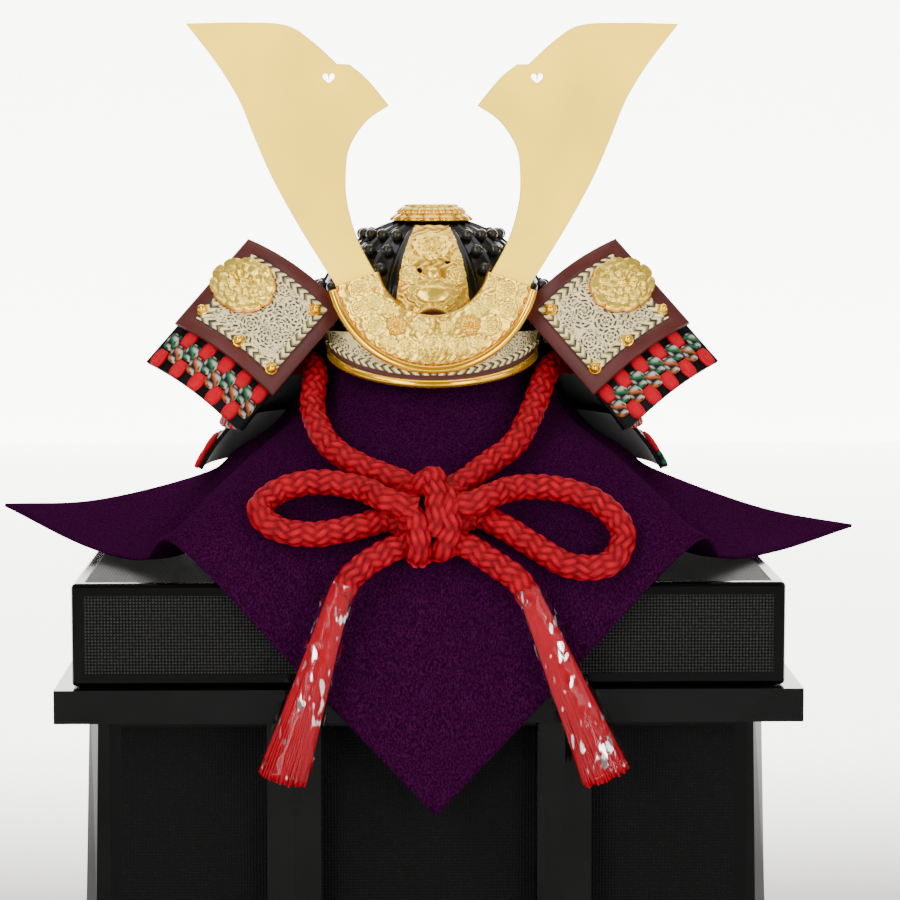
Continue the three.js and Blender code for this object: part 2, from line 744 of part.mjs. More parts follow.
function horn() {
  const flat = ({ across, up }) => new THREE.Vector2(-across * hornSpread, up * hornHeight);
  const outline = new THREE.Shape();
  const start = flat(hornBack[0]);
  const end = flat(hornFront[hornFront.length - 1]);
  outline.moveTo(start.x + 3, start.y - hornStem);
  outline.lineTo(start.x, start.y);
  outline.splineThru(hornBack.slice(1).map(flat));
  outline.splineThru(hornTop.map(flat));
  outline.lineTo(flat(hornLobe[0]).x, flat(hornLobe[0]).y);
  outline.splineThru(hornLobe.slice(1).map(flat));
  outline.splineThru(hornFront.map(flat));
  outline.lineTo(end.x - 3, end.y - hornStem);
  const centre = flat(hornHeart);
  const size = hornHeart.size;
  const heart = new THREE.Path();
  heart.moveTo(centre.x, centre.y - size / 2);
  heart.quadraticCurveTo(centre.x + size * 0.75, centre.y + size * 0.1, centre.x + size * 0.3, centre.y + size / 2);
  heart.lineTo(centre.x, centre.y + size * 0.28);
  heart.lineTo(centre.x - size * 0.3, centre.y + size / 2);
  heart.quadraticCurveTo(centre.x - size * 0.75, centre.y + size * 0.1, centre.x, centre.y - size / 2);
  outline.holes.push(heart);
  const plate = new THREE.ExtrudeGeometry(outline, {
    depth: hornThickness,
    bevelEnabled: false,
    curveSegments: 3,
  });
  return outward(plate.rotateX(Math.PI / 2));
}

// Turned-back flaps. A flap is a bent sheet: down runs along its straight lines from the top edge,
// outwards runs from the fold beside the visor to the free edge, and back is the side it bends to.
const flapDown = vec(-0.625, -0.307, -0.717).normalize();
const flapAcross = vec(-0.754, 0, 0.657);
const flapBack = flapDown.clone().cross(flapAcross).normalize();
const flapFold = vec(-0.704 * bowlRadius, -0.885 * bowlRadius, 11.3);
const flapBend = 20;

// A point on the left flap: share 0 at the fold to 1 at the free edge, drop 0 at the top edge to 1.
function flapPoint(share, drop, behind = 0) {
  const bulge = share < 0.35 ? -2.5 * Math.sin((share / 0.35) * (Math.PI / 2)) : -2.5;
  const turnBack = share < 0.35 ? 0 : flapBend * ((share - 0.35) / 0.65) ** 2;
  return flapFold.clone()
    .addScaledVector(flapAcross, share * flapWidth)
    .addScaledVector(flapDown, drop * flapDrop)
    .addScaledVector(flapBack, bulge + turnBack + behind);
}

// Edges of the leather panel as shares of the flap's width and drop.
const frameAcross = edgingWidth / flapWidth;
const frameDown = edgingWidth / flapDrop;

function flapPanel() {
  const gapAcross = (flapThickness / 2 + seatGap) / flapWidth;
  const gapDown = (2 * seatGap) / flapDrop;
  const point = (u, v) => flapPoint(
    lerp(frameAcross + gapAcross, 1 - frameAcross - gapAcross, u),
    lerp(frameDown + gapDown, 1 - frameDown - gapDown, v),
  );
  return sheet(point, 8, 2, flapThickness / 2, -flapThickness / 2);
}

function flapEdging() {
  const corners = [];
  const steps = 8;
  for (let i = 0; i < steps; i += 1) corners.push([i / steps, 0]);
  for (let i = 0; i < 2; i += 1) corners.push([1, i / 2]);
  for (let i = 0; i < steps; i += 1) corners.push([1 - i / steps, 1]);
  for (let i = 0; i < 2; i += 1) corners.push([0, 1 - i / 2]);
  const reach = flapThickness / 2 + 0.4;
  const sections = corners.map(([across, down]) => {
    const innerAcross = lerp(frameAcross, 1 - frameAcross, across);
    const innerDown = lerp(frameDown, 1 - frameDown, down);
    return [
      flapPoint(across, down, -reach),
      flapPoint(innerAcross, innerDown, -reach),
      flapPoint(innerAcross, innerDown, reach),
      flapPoint(across, down, reach),
    ];
  });
  return loft(sections, true);
}

const crestPlace = { share: 0.76, drop: 0.41 };

function flapCrest() {
  const petals = 9;
  const point = (u, v) => {
    const turn = 2 * Math.PI * u;
    const reach = lerp(crestPinRadius, crestRadius, v);
    return flapPoint(
      crestPlace.share + (reach * Math.cos(turn)) / flapWidth,
      crestPlace.drop - (reach * Math.sin(turn)) / flapDrop,
      -flapThickness / 2 - 0.4 - seatGap,
    );
  };
  const relief = (u, v) => {
    const petal = Math.round(u * petals * 2) % 2 ? 0.3 : 1;
    return v > 0.9 ? 0.8 : 1 + (v < 0.3 ? 2.2 : 1.3 * petal);
  };
  return sheet(point, petals * 2, 3, relief, 0, { wrapped: true });
}

// Gold ball studs near the corners of the printed leather, as shares of the flap's width and drop.
const flapStuds = [
  { share: 0.2, drop: 0.2 },
  { share: 0.88, drop: 0.78 },
  { share: 0.5, drop: 0.84 },
  { share: 0.16, drop: 0.84 },
];

function flapStud({ share, drop }) {
  const ball = new THREE.SphereGeometry(studRadius, 6, 4);
  const across = flapPoint(share + 0.01, drop).sub(flapPoint(share - 0.01, drop));
  const outwards = across.cross(flapDown).normalize();
  const seat = flapPoint(share, drop).addScaledVector(outwards, flapThickness / 2 + studRadius + seatGap);
  return outward(ball.translate(seat.x, seat.y, seat.z));
}

// The front end of the middle lame, turned back under the flap.
const underStart = 0.84;
const underEnd = 1.4;
const underBehind = 5.6;

function underFlap() {
  const point = (u, v) => flapPoint(lerp(0.04, 0.97, u), lerp(underStart, underEnd, v), underBehind);
  return sheet(point, 10, 2, lameThickness / 2, -lameThickness / 2);
}

// Neck guard lames, as reach beyond the bowl and height at each edge. A lame whose fold is given
// spreads forward to meet the back of its flap there, and the others end at the sides.
const lames = [
  { name: 'upper', topReach: 1.8, topHeight: 2, lowReach: 28, lowHeight: -20,
    frontAngle: 44, blendAngle: 85, foldTop: 0.05, foldLow: 0.8, behind: 3.2 },
  { name: 'middle', topReach: 24, topHeight: -20, lowReach: 38, lowHeight: -41,
    frontAngle: 46, blendAngle: 85, foldTop: underStart, foldLow: underEnd - 0.02, behind: 8.4 },
  { name: 'lower', topReach: 33.8, topHeight: -39, lowReach: 49, lowHeight: -60,
    frontAngle: 84, blendAngle: 84, foldTop: 0, foldLow: 0, behind: 0 },
];

function lamePoint(lame, azimuth, down) {
  const bow = 1.2 * Math.sin(Math.PI * down);
  const radius = bowlRadius + lerp(lame.topReach, lame.lowReach, down) + bow;
  const cone = vec(
    -radius * Math.sin(azimuth),
    -radius * Math.cos(azimuth),
    lerp(lame.topHeight, lame.lowHeight, down),
  );
  if (lame.blendAngle === lame.frontAngle) return cone;
  const weight = 1 - smooth(azimuth, radians(lame.frontAngle), radians(lame.blendAngle));
  const fold = flapPoint(0.03, lerp(lame.foldTop, lame.foldLow, down), lame.behind);
  return cone.lerp(fold, weight);
}

function neckLame(lame) {
  const front = radians(lame.frontAngle);
  const point = (u, v) => {
    const azimuth = lerp(front, 2 * Math.PI - front, u);
    if (azimuth <= Math.PI) return lamePoint(lame, azimuth, v);
    const twin = lamePoint(lame, 2 * Math.PI - azimuth, v);
    return vec(-twin.x, twin.y, twin.z);
  };
  return sheet(point, 24, 2, lameThickness / 2, -lameThickness / 2);
}

add(helmet, 'bowl', bowl(), 'steel');
add(helmet, 'crown_ornament', crownOrnament(), 'reliefGold');
add(helmet, 'front_plate', frontPlate(), 'reliefGold');
add(helmet, 'visor', visor(), 'printedLeather');
add(helmet, 'visor_rim', visorRim(), 'rimGold');
add(helmet, 'horn_holder', hornHolder(), 'reliefGold');
add(helmet, 'holder_rim', holderRim(), 'rimGold');
add(helmet, 'holder_stud_left', placedStud(-1), 'rimGold');
add(helmet, 'holder_stud_right', placedStud(1), 'rimGold');

for (const side of [-1, 1]) {
  const name = side < 0 ? 'horn_left' : 'horn_right';
  const mesh = add(helmet, name, side < 0 ? horn() : mirrored(horn()), 'satinGold');
  mesh.position.set(0, holderStand + hornBehind, hornBase);
  mesh.rotation.z = radians(hornSweep * side);
}

addPair(helmet, 'flap', flapPanel(), 'printedLeather');
addPair(helmet, 'flap_edging', flapEdging(), 'edgeLeather');
addPair(helmet, 'crest', flapCrest(), 'rimGold');
addPair(helmet, 'under_flap', underFlap(), 'lame');
flapStuds.forEach((place, k) => addPair(helmet, `flap_stud_${k + 1}`, flapStud(place), 'rimGold'));
for (const lame of lames) add(helmet, `neck_lame_${lame.name}`, neckLame(lame), 'lame');

// Chin cord. Each route is a list of chosen points on the cord's centre line.
const cordRadius = cordDiameter / 2;
const hiddenTurn = { radius: 61.6, height: 289.4 };

function cordBandRoute() {
  const route = [vec(-12, -100, 248.5), vec(-28, -93.5, 253), vec(-40, -84, 260), vec(-47.5, -66.5, 272)];
  for (let degrees = 55; degrees <= 305; degrees += 25) {
    const angle = radians(degrees);
    route.push(vec(
      helmetX - hiddenTurn.radius * Math.sin(angle),
      -hiddenTurn.radius * Math.cos(angle),
      hiddenTurn.height,
    ));
  }
  route.push(vec(43, -68, 272), vec(35, -84, 260.5), vec(24, -93, 253.5), vec(15.5, -99, 249));
  return route;
}

const loopRoutes = {
  left: [
    vec(-15, -117, 240.5), vec(-28, -104.5, 245), vec(-47, -100.5, 247), vec(-62, -102, 243),
    vec(-68.5, -107.5, 236.5), vec(-62, -112.5, 230), vec(-47, -114.5, 227.5), vec(-30, -112.5, 230),
    vec(-15.5, -108, 232.5),
  ],
  right: [
    vec(18, -117, 240.5), vec(35, -104.5, 245), vec(54, -102.5, 244), vec(70, -107.5, 238),
    vec(78, -114.5, 227.5), vec(72, -121.5, 216.5), vec(57, -122.5, 215.5), vec(42, -117, 223),
    vec(29, -112, 230.5), vec(18.5, -107.5, 234),
  ],
};

const tailRoutes = {
  left: [vec(-12, -119.5, 223.5), vec(-22, -124, 219), vec(-32, -130, 212)],
  right: [vec(16, -120, 223), vec(26, -125.5, 217), vec(36, -131, 210)],
};

function cordKnot() {
  const lump = (width, depth, height, x, y, z) => new THREE.SphereGeometry(1, 10, 6)
    .scale(width, depth, height)
    .rotateX(radians(-30))
    .translate(x, y, z);
  return joined([
    lump(7.5, 11, 14, 1.6, -111.5, 239.5),
    lump(8, 9.5, 9.5, -2.4, -118, 226.5),
    lump(8, 9.5, 9.5, 6.4, -118, 226.5),
  ]);
}

add(chest, 'cord_band', tube(cordBandRoute(), cordRadius, 8, 26), 'redCord');
for (const side of ['left', 'right']) {
  add(chest, `cord_loop_${side}`, tube(loopRoutes[side], cordRadius, 8, 14), 'redCord');
  add(chest, `cord_tail_${side}`, tube(tailRoutes[side], cordRadius, 8, 3), 'redCord');
}
add(chest, 'cord_knot', cordKnot(), 'redCord');

// Tassels hang splayed from the tails, each in an open sleeve of clear film.
const tasselSides = {
  left: { head: vec(-34.5, -132, 210), lean: -0.31 },
  right: { head: vec(38.5, -132.5, 208), lean: 0.42 },
};
const tasselHeadRadius = 3.9;
const tasselEndRadius = 8.6;
const wrapRadius = tasselEndRadius + 3.6;

// Carries a piece drawn down the -Z axis to the tassel's place and lean.
function hung(geometry, { head, lean }) {
  const turn = new THREE.Quaternion().setFromUnitVectors(vec(0, 0, -1), vec(lean, 0, -1).normalize());
  return outward(geometry.applyQuaternion(turn).translate(head.x, head.y, head.z));
}

// Locks fused to a round head.
function tassel(place) {
  const pieces = [new THREE.CylinderGeometry(tasselHeadRadius + 1, tasselHeadRadius, 14, 10)
    .rotateX(-Math.PI / 2)
    .translate(0, 0, -9)];
  const locks = 7;
  for (let i = 0; i < locks; i += 1) {
    const angle = (i / locks) * 2 * Math.PI;
    const lock = new THREE.CylinderGeometry(1.8, 3.1, tasselLength - 12, 6).rotateX(Math.PI / 2);
    const spread = Math.atan((tasselEndRadius - tasselHeadRadius) / tasselLength);
    lock.translate(0, 0, -tasselLength / 2 - 6);
    lock.rotateY(-spread).translate(1.8, 0, 0).rotateZ(angle);
    pieces.push(lock);
  }
  pieces.push(new THREE.CylinderGeometry(3.2, tasselEndRadius - 2.2, tasselLength - 14, 8)
    .rotateX(Math.PI / 2)
    .translate(0, 0, -tasselLength / 2 - 5));
  return hung(joined(pieces), place);
}

function tasselWrap(place) {
  const top = { radius: tasselHeadRadius + 3.2, height: -1 };
  const end = { radius: wrapRadius, height: -tasselLength + 1 };
  const sections = [];
  for (let i = 0; i < 12; i += 1) {
    const angle = (i / 12) * 2 * Math.PI;
    const at = ({ radius, height }, wall) => vec(
      (radius + wall) * Math.cos(angle),
      (radius + wall) * Math.sin(angle),
      height,
    );
    sections.push([at(top, wrapWall), at(top, 0), at(end, 0), at(end, wrapWall)]);
  }
  return hung(loft(sections, true), place);
}

for (const side of ['left', 'right']) {
  add(chest, `tassel_${side}`, tassel(tasselSides[side]), 'redCord');
  add(chest, `tassel_wrap_${side}`, tasselWrap(tasselSides[side]), 'film');
}

export default assembly;
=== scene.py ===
from math import atan2, cos, hypot, pi, radians, sin, sqrt

import bpy
import numpy as np
from mathutils import Euler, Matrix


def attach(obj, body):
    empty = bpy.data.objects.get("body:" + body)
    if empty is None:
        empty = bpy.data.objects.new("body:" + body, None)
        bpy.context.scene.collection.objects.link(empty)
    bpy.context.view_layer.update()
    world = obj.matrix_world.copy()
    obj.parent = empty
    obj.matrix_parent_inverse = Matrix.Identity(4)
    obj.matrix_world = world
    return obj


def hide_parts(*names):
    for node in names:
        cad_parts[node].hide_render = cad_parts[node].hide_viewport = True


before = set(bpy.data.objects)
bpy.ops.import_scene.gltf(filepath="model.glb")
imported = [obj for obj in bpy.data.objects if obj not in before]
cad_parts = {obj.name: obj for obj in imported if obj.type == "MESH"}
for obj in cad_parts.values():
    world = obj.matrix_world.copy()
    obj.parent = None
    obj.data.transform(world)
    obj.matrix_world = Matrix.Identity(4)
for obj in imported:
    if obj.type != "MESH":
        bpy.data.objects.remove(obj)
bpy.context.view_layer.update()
scene = bpy.context.scene
MM = 0.001

# Camera
camera_data = bpy.data.cameras.new("camera")
camera_data.lens = 120
camera_data.sensor_width = 36
camera = bpy.data.objects.new("camera", camera_data)
camera.location = (-0.0157, -1.310, 0.381)
camera.rotation_euler = Euler((radians(90 - 5.71), 0, radians(-1.15)))
scene.collection.objects.link(camera)
scene.camera = camera

# Sizes and colours that the pieces share
HELMET = np.array((2.4, 0.0, 302.9))
LID_TOP = 206.9
BOWL_RADIUS = 52.0
BOWL_HEIGHT = 49.0
PLATES = 24
RIB = 0.9
CORD = 10.4
SIDES = ((-1, "left"), (1, "right"))
CREAM, INK, OLIVE = np.array((0.88, 0.72, 0.36)), np.array((0.008, 0.008, 0.009)), np.array((0.24, 0.2, 0.05))
RED, GREEN = np.array((0.55, 0.0, 0.013)), np.array((0.02, 0.17, 0.07))
ORANGE, WHITE = np.array((0.7, 0.16, 0.03)), np.array((0.75, 0.72, 0.62))
DAYLIGHT = (1.0, 0.985, 0.95, 1)


# Material helpers
def feed(tree, socket, value):
    if isinstance(value, bpy.types.NodeSocket):
        tree.links.new(value, socket)
    else:
        socket.default_value = value


def node(tree, kind, inputs=(), **settings):
    made = tree.nodes.new(kind)
    for key, value in settings.items():
        setattr(made, key, value)
    for key, value in dict(inputs).items():
        feed(tree, made.inputs[key], value)
    return made


def maths(tree, operation, *values):
    return node(tree, "ShaderNodeMath", enumerate(values), operation=operation).outputs[0]


def total(tree, values):
    return maths(tree, "ADD", maths(tree, "ADD", *values[:2]), values[2])


def place(tree, stretch=(1, 1, 1)):
    """The surface's own place in metres, stretched."""
    where = node(tree, "ShaderNodeTexCoord").outputs["Object"]
    return node(tree, "ShaderNodeMapping", {"Vector": where, "Scale": stretch}).outputs[0]


def noise(tree, scale, detail=3.0, stretch=(1, 1, 1), rough=0.5):
    links = {"Vector": place(tree, stretch), "Scale": scale, "Detail": detail, "Roughness": rough}
    return node(tree, "ShaderNodeTexNoise", links).outputs["Fac"]


def mix(tree, amount, first, second, **settings):
    made = node(tree, "ShaderNodeMix", data_type="RGBA", **settings)
    for number, value in ((0, amount), (6, first), (7, second)):
        feed(tree, made.inputs[number], (*value, 1) if isinstance(value, tuple) else value)
    return made.outputs[2]


def ramp(tree, value, low, high):
    made = node(tree, "ShaderNodeMapRange", {"Value": value, "From Min": low, "From Max": high})
    return made.outputs[0]


def blank(name, **values):
    """A new material, with values for its shader's sockets; underscores stand for spaces."""
    made = bpy.data.materials.new(name)
    made.use_nodes = True
    shader = made.node_tree.nodes["Principled BSDF"]
    for socket, value in values.items():
        shader.inputs[socket.replace("_", " ")].default_value = value
    return made, made.node_tree, shader


def clouded(tree, shader, blotch, roughness):
    """Cloudy variation of the roughness, which the colour can share."""
    cloud = ramp(tree, noise(tree, blotch), 0.3, 0.7)
    spread = maths(tree, "MULTIPLY_ADD", cloud, roughness * 0.3, roughness * 0.85)
    tree.links.new(spread, shader.inputs["Roughness"])
    return cloud


def bump(made, height, strength, distance):
    tree = made.node_tree
    links = {"Height": height, "Strength": strength, "Distance": distance * MM}
    raised = node(tree, "ShaderNodeBump", links)
    tree.links.new(raised.outputs[0], tree.nodes["Principled BSDF"].inputs["Normal"])


def material(name, dark, light, roughness, metallic=0.0, blotch=40.0, tint=False, specular=0.5, grain=None):
    """A surface whose colour wanders between dark and light, and can follow its mesh's tint."""
    made, tree, shader = blank(name, Metallic=metallic, Specular_IOR_Level=specular)
    colour = mix(tree, clouded(tree, shader, blotch, roughness), dark, light)
    if tint:
        painted = node(tree, "ShaderNodeAttribute", attribute_name="tint").outputs["Color"]
        colour = mix(tree, 1.0, painted, colour, blend_type="MULTIPLY")
    tree.links.new(colour, shader.inputs["Base Color"])
    if grain:
        bump(made, noise(tree, *grain[:-2]), *grain[-2:])
    return made


def crepe_material():
    made, tree, shader = blank(
        "crepe", Specular_IOR_Level=0.0, Sheen_Weight=0.03, Sheen_Roughness=0.4,
        Sheen_Tint=(0.5, 0.1, 0.45, 1))
    clouded(tree, shader, 14, 0.95)
    grain = noise(tree, 1500, 3.0, (1, 1, 0.6), 0.6)
    bump(made, grain, 0.8, 0.6)
    colour = mix(tree, ramp(tree, grain, 0.42, 0.72), (0.012, 0.0005, 0.0105), (0.05, 0.003, 0.042))
    tree.links.new(colour, shader.inputs["Base Color"])
    return made


def panel_material(name, inner, centre):
    """Black lacquer, with a fine woven texture on each face inside its glossy border."""
    made, tree, shader = blank(name, Specular_IOR_Level=0.08)
    where = node(tree, "ShaderNodeSeparateXYZ", {0: place(tree)})
    weave_pitch = 1.3 * MM
    flags, threads = [], []
    for k in range(3):
        away = maths(tree, "ABSOLUTE", maths(tree, "SUBTRACT", where.outputs[k], centre[k] * MM))
        flags.append(maths(tree, "LESS_THAN", away, inner[k] * MM))
        threads.append(maths(tree, "SINE", maths(tree, "MULTIPLY", where.outputs[k], 2 * pi / weave_pitch)))
    inside = maths(tree, "GREATER_THAN", total(tree, flags), 1.5)
    weave = maths(tree, "ADD", total(tree, threads), maths(tree, "MULTIPLY", noise(tree, 900, 2.0), 2.5))
    bump(made, maths(tree, "MULTIPLY", weave, inside), 0.55, 0.12)
    tree.links.new(maths(tree, "MULTIPLY_ADD", inside, 0.45, 0.15), shader.inputs["Roughness"])
    fleck = maths(tree, "MULTIPLY", ramp(tree, weave, 1.9, 3.7), inside)
    colour = mix(tree, fleck, (0.0015, 0.0015, 0.0015), (0.034, 0.034, 0.031))
    tree.links.new(colour, shader.inputs["Base Color"])
    return made


def film_material():
    """Clear film, which shows only in noise streaks that stand for bright creases: painted highlights, lit by
    the film's mirror reflection.
    """
    made, tree, shader = blank("film", Base_Color=(1, 0.97, 0.97, 1), Roughness=0.07, Metallic=1.0)
    # Painted highlights: the streaks where the film turns opaque are placed by noise.
    highlight_streak = ramp(tree, noise(tree, 400, 1.5, (1, 1, 0.3)), 0.61, 0.67)
    tree.links.new(maths(tree, "MULTIPLY_ADD", highlight_streak, 0.55, 0.007), shader.inputs["Alpha"])
    bump(made, noise(tree, 210, 1.0, (1, 1, 0.6)), 0.5, 2.0)
    return made


# Materials: dark and light colour, roughness, metallic, blotch, tinted or not, specular, and the grain's
# noise with its strength and its height in millimetres
BLACK, SOOT = (0.002, 0.002, 0.002), (0.004, 0.004, 0.004)
SURFACES = {
    "lacquer": (BLACK, SOOT, 0.12, 0, 30, False, 0.1, (60, 1.0, 0.02, 0.1)),
    "steel": ((0.002, 0.002, 0.0022), (0.004, 0.004, 0.0045), 0.2, 0, 40, False, 0.2, (300, 2.0, 0.06, 0.1)),
    "rivet": ((0.02, 0.02, 0.021), (0.035, 0.035, 0.037), 0.24, 0.4, 220, False, 0.4),
    "relief_gold": ((1.0, 0.63, 0.05), (1.0, 0.73, 0.11), 0.27, 0.78, 160, True, 0.5, (1300, 3.0, 0.3, 0.2)),
    "rim_gold": ((0.95, 0.48, 0.01), (1.0, 0.6, 0.03), 0.17, 0.85, 90),
    "satin_gold": (
        (1.0, 0.63, 0.0), (1.0, 0.68, 0.02), 0.38, 0.5, 25, False, 0.5, (260, 4.0, (1, 1, 6), 0.12, 0.15)),
    "printed_leather": ((0.9, 0.9, 0.9), (1, 1, 1), 0.6, 0, 120, True, 0.5, (1100, 3.0, 0.25, 0.2)),
    "edge_leather": (
        (0.05, 0.005, 0.0035), (0.085, 0.011, 0.008), 0.5, 0, 60, False, 0.3, (900, 4.0, 0.35, 0.25)),
    "lame": (BLACK, SOOT, 0.5, 0, 40, False, 0.08),
    "lace": ((0.75, 0.75, 0.75), (1, 1, 1), 0.75, 0, 500, True, 0.12, (2400, 2.0, 0.5, 0.25)),
    "red_cord": ((0.6, 0.6, 0.6), (1, 1, 1), 0.62, 0, 260, True, 0.12, (2200, 3.0, (1, 1, 0.6), 0.6, 0.35)),
    "thread": ((0.3, 0.0, 0.008), (0.45, 0.0, 0.011), 0.6, 0, 500, False, 0.1),
    "core": ((0.55, 0.5, 0.42), (0.62, 0.57, 0.5), 0.9),
}
MATERIALS = {name: material(name, *settings) for name, settings in SURFACES.items()}
MATERIALS["crepe"] = crepe_material()
MATERIALS["film"] = film_material()
MATERIALS["lacquer_lid"] = panel_material("lacquer_lid", (139.5, 105, 16), (0, 0, 185.9))
MATERIALS["lacquer_body"] = panel_material("lacquer_body", (126, 92, 64), (0, 0, 82))


# Mesh helpers
def grid_faces(rows, columns, wrap_rows=False, wrap_columns=False):
    i = np.arange(rows if wrap_rows else rows - 1)[:, None]
    j = np.arange(columns if wrap_columns else columns - 1)[None, :]
    i2, j2 = (i + 1) % rows, (j + 1) % columns
    corners = (i * columns + j, i2 * columns + j, i2 * columns + j2, i * columns + j2)
    return np.stack(np.broadcast_arrays(*corners), -1).reshape(-1, 4)


def unit(vectors):
    return vectors / np.maximum(np.linalg.norm(vectors, axis=-1, keepdims=True), 1e-9)


def along_edges(points, axis, wrap):
    if wrap:
        return np.roll(points, -1, axis) - np.roll(points, 1, axis)
    return np.gradient(points, axis=axis)


def normals(points, wrap_rows=False, wrap_columns=False):
    down = along_edges(points, 0, wrap_rows)
    across = along_edges(points, 1, wrap_columns)
    return unit(np.cross(down, across))


def xyz(x, y, z):
    return np.stack(np.broadcast_arrays(x, y, z), -1)


def slab(points, front, back, wrap_rows=False, wrap_columns=False):
    """A closed sheet about a grid of points, from back to front along its normal."""
    facing = normals(points, wrap_rows, wrap_columns)
    rows, columns = points.shape[:2]
    lift = front[..., None] if isinstance(front, np.ndarray) else front
    top = (points + facing * lift).reshape(-1, 3)
    under = (points + facing * back).reshape(-1, 3)
    faces = grid_faces(rows, columns, wrap_rows, wrap_columns)
    count = len(top)
    parts = [faces, faces[:, ::-1] + count]
    index = np.arange(count).reshape(rows, columns)
    if not wrap_rows:
        parts += [rim_faces(index[0], count, wrap_columns, True), rim_faces(index[-1], count, wrap_columns)]
    if not wrap_columns:
        parts += [rim_faces(index[:, 0], count, wrap_rows), rim_faces(index[:, -1], count, wrap_rows, True)]
    return np.concatenate((top, under)), np.concatenate(parts)


def rim_faces(edge, count, closed, flipped=False):
    a = edge if closed else edge[:-1]
    b = np.roll(edge, -1) if closed else edge[1:]
    quads = np.stack((a, b, b + count, a + count), -1)
    return quads if flipped else quads[:, ::-1]


def outer_slab(points, front, back, direction):
    """A slab whose front lies towards a direction, as judged at the grid's middle."""
    middle = normals(points)[points.shape[0] // 2, points.shape[1] // 2]
    sign = 1 if np.dot(middle, direction) > 0 else -1
    return slab(points, front * sign, back * sign)


def joined(shapes):
    verts, faces, offset = [], [], 0
    for shape_verts, shape_faces in shapes:
        verts.append(np.asarray(shape_verts))
        faces += [tuple(int(corner) + offset for corner in face) for face in shape_faces]
        offset += len(shape_verts)
    return np.vstack(verts), faces


def run_along(line):
    """How far each point is along a line."""
    return np.concatenate(((0,), np.cumsum(np.linalg.norm(np.diff(line, axis=0), axis=1))))


def through(points, step):
    """A smooth centripetal curve through chosen points, evenly stepped."""
    points = np.array(points, float)
    ends = np.vstack((2 * points[0] - points[1], points, 2 * points[-1] - points[-2]))
    knots = np.concatenate(((0,), np.cumsum(np.sqrt(np.linalg.norm(np.diff(ends, axis=0), axis=1)))))
    dense = []
    for k in range(1, len(ends) - 2):
        t = np.linspace(knots[k], knots[k + 1], 40, endpoint=False)[:, None]
        near, marks = ends[k - 1:k + 3], knots[k - 1:k + 3]
        for spans in (((0, 1), (1, 2), (2, 3)), ((0, 2), (1, 3)), ((1, 2),)):
            near = [
                ((marks[j] - t) * near[m] + (t - marks[i]) * near[m + 1]) / (marks[j] - marks[i])
                for m, (i, j) in enumerate(spans)
            ]
        dense.append(near[0])
    return evenly(np.vstack((*dense, points[-1:])), step)


def evenly(line, step):
    run = run_along(line)
    at = np.linspace(0, run[-1], max(3, round(run[-1] / step) + 1))
    return np.stack([np.interp(at, run, line[:, k]) for k in range(3)], -1)


def line_frames(line):
    """Two directions across a line at each point, turned with it as little as possible."""
    ahead = unit(np.gradient(line, axis=0))
    side = np.cross(ahead[0], (0.0, 0.0, 1.0))
    if np.linalg.norm(side) < 0.1:
        side = np.cross(ahead[0], (1.0, 0.0, 0.0))
    sides = []
    for direction in ahead:
        side = side - direction * side.dot(direction)
        side = side / np.linalg.norm(side)
        sides.append(side)
    sides = np.array(sides)
    return sides, np.cross(ahead, sides)


def pipe(line, radius, sides):
    """A tube about a line; radius is a number or one for each point and side."""
    side, up = line_frames(line)
    angle = np.arange(sides) / sides * 2 * pi
    ring = np.cos(angle)[None, :, None] * side[:, None] + np.sin(angle)[None, :, None] * up[:, None]
    reach = np.broadcast_to(np.asarray(radius, float), (len(line), sides))[..., None]
    verts = (line[:, None] + ring * reach).reshape(-1, 3)
    faces = grid_faces(len(line), sides, wrap_columns=True)[:, ::-1]
    last = len(verts) - sides
    caps = [tuple(range(sides)), tuple(range(last + sides - 1, last - 1, -1))]
    return verts, [tuple(face) for face in faces.tolist()] + caps


def turned_shape(rows, sides):
    """A lathe shape from rows of radius and height, closed at its top."""
    angle = np.arange(sides) / sides * 2 * pi
    verts = np.array([(r * cos(a), r * sin(a), z) for r, z in rows for a in angle])
    faces = grid_faces(len(rows), sides, wrap_columns=True)[:, ::-1].tolist()
    return verts, [*faces, list(range(len(verts) - sides, len(verts)))]


def dome_shape(radius, height, sides, rings):
    turns = np.linspace(0, pi / 2 - 0.12, rings)
    return turned_shape([(radius * cos(t), height * sin(t)) for t in turns], sides)


def z_turn(angle):
    return np.array(((cos(angle), -sin(angle), 0), (sin(angle), cos(angle), 0), (0, 0, 1)))


def standing(normal):
    """A turn that stands a shape's Z axis along a normal."""
    normal = unit(np.asarray(normal, float))
    side = np.cross((0.0, 0.0, 1.0), normal)
    if np.linalg.norm(side) < 0.05:
        side = np.array((1.0, 0.0, 0.0))
    side = unit(side)
    return np.stack((side, np.cross(normal, side), normal), -1)


def piece(name, shape, surface, *replaced, slot=None, tint=None, crease=False):
    """A piece of a material, which fills its paint slot; the slot argument is not used."""
    verts, faces = shape
    mesh = bpy.data.meshes.new(name)
    listed = faces.tolist() if isinstance(faces, np.ndarray) else list(faces)
    mesh.from_pydata((np.asarray(verts) * MM).tolist(), [], listed)
    if tint is not None:
        layer = mesh.color_attributes.new("tint", "FLOAT_COLOR", "POINT")
        colours = np.ones((len(verts), 4), np.float32)
        colours[:, :3] = tint
        layer.data.foreach_set("color", colours.ravel())
    mesh.validate()
    mesh.update()
    mesh.shade_smooth()
    if crease:
        mesh.set_sharp_from_angle(angle=radians(38))
    mesh.materials.append(MATERIALS[surface])
    made = bpy.data.objects.new(name, mesh)
    scene.collection.objects.link(made)
    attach(made, "root")
    if replaced:
        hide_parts(*replaced)
    return made


def smooth(value, low, high):
    share = np.clip((value - low) / (high - low), 0, 1)
    return share * share * (3 - 2 * share)


# Red braided cord
BRAID_STEP = 0.9


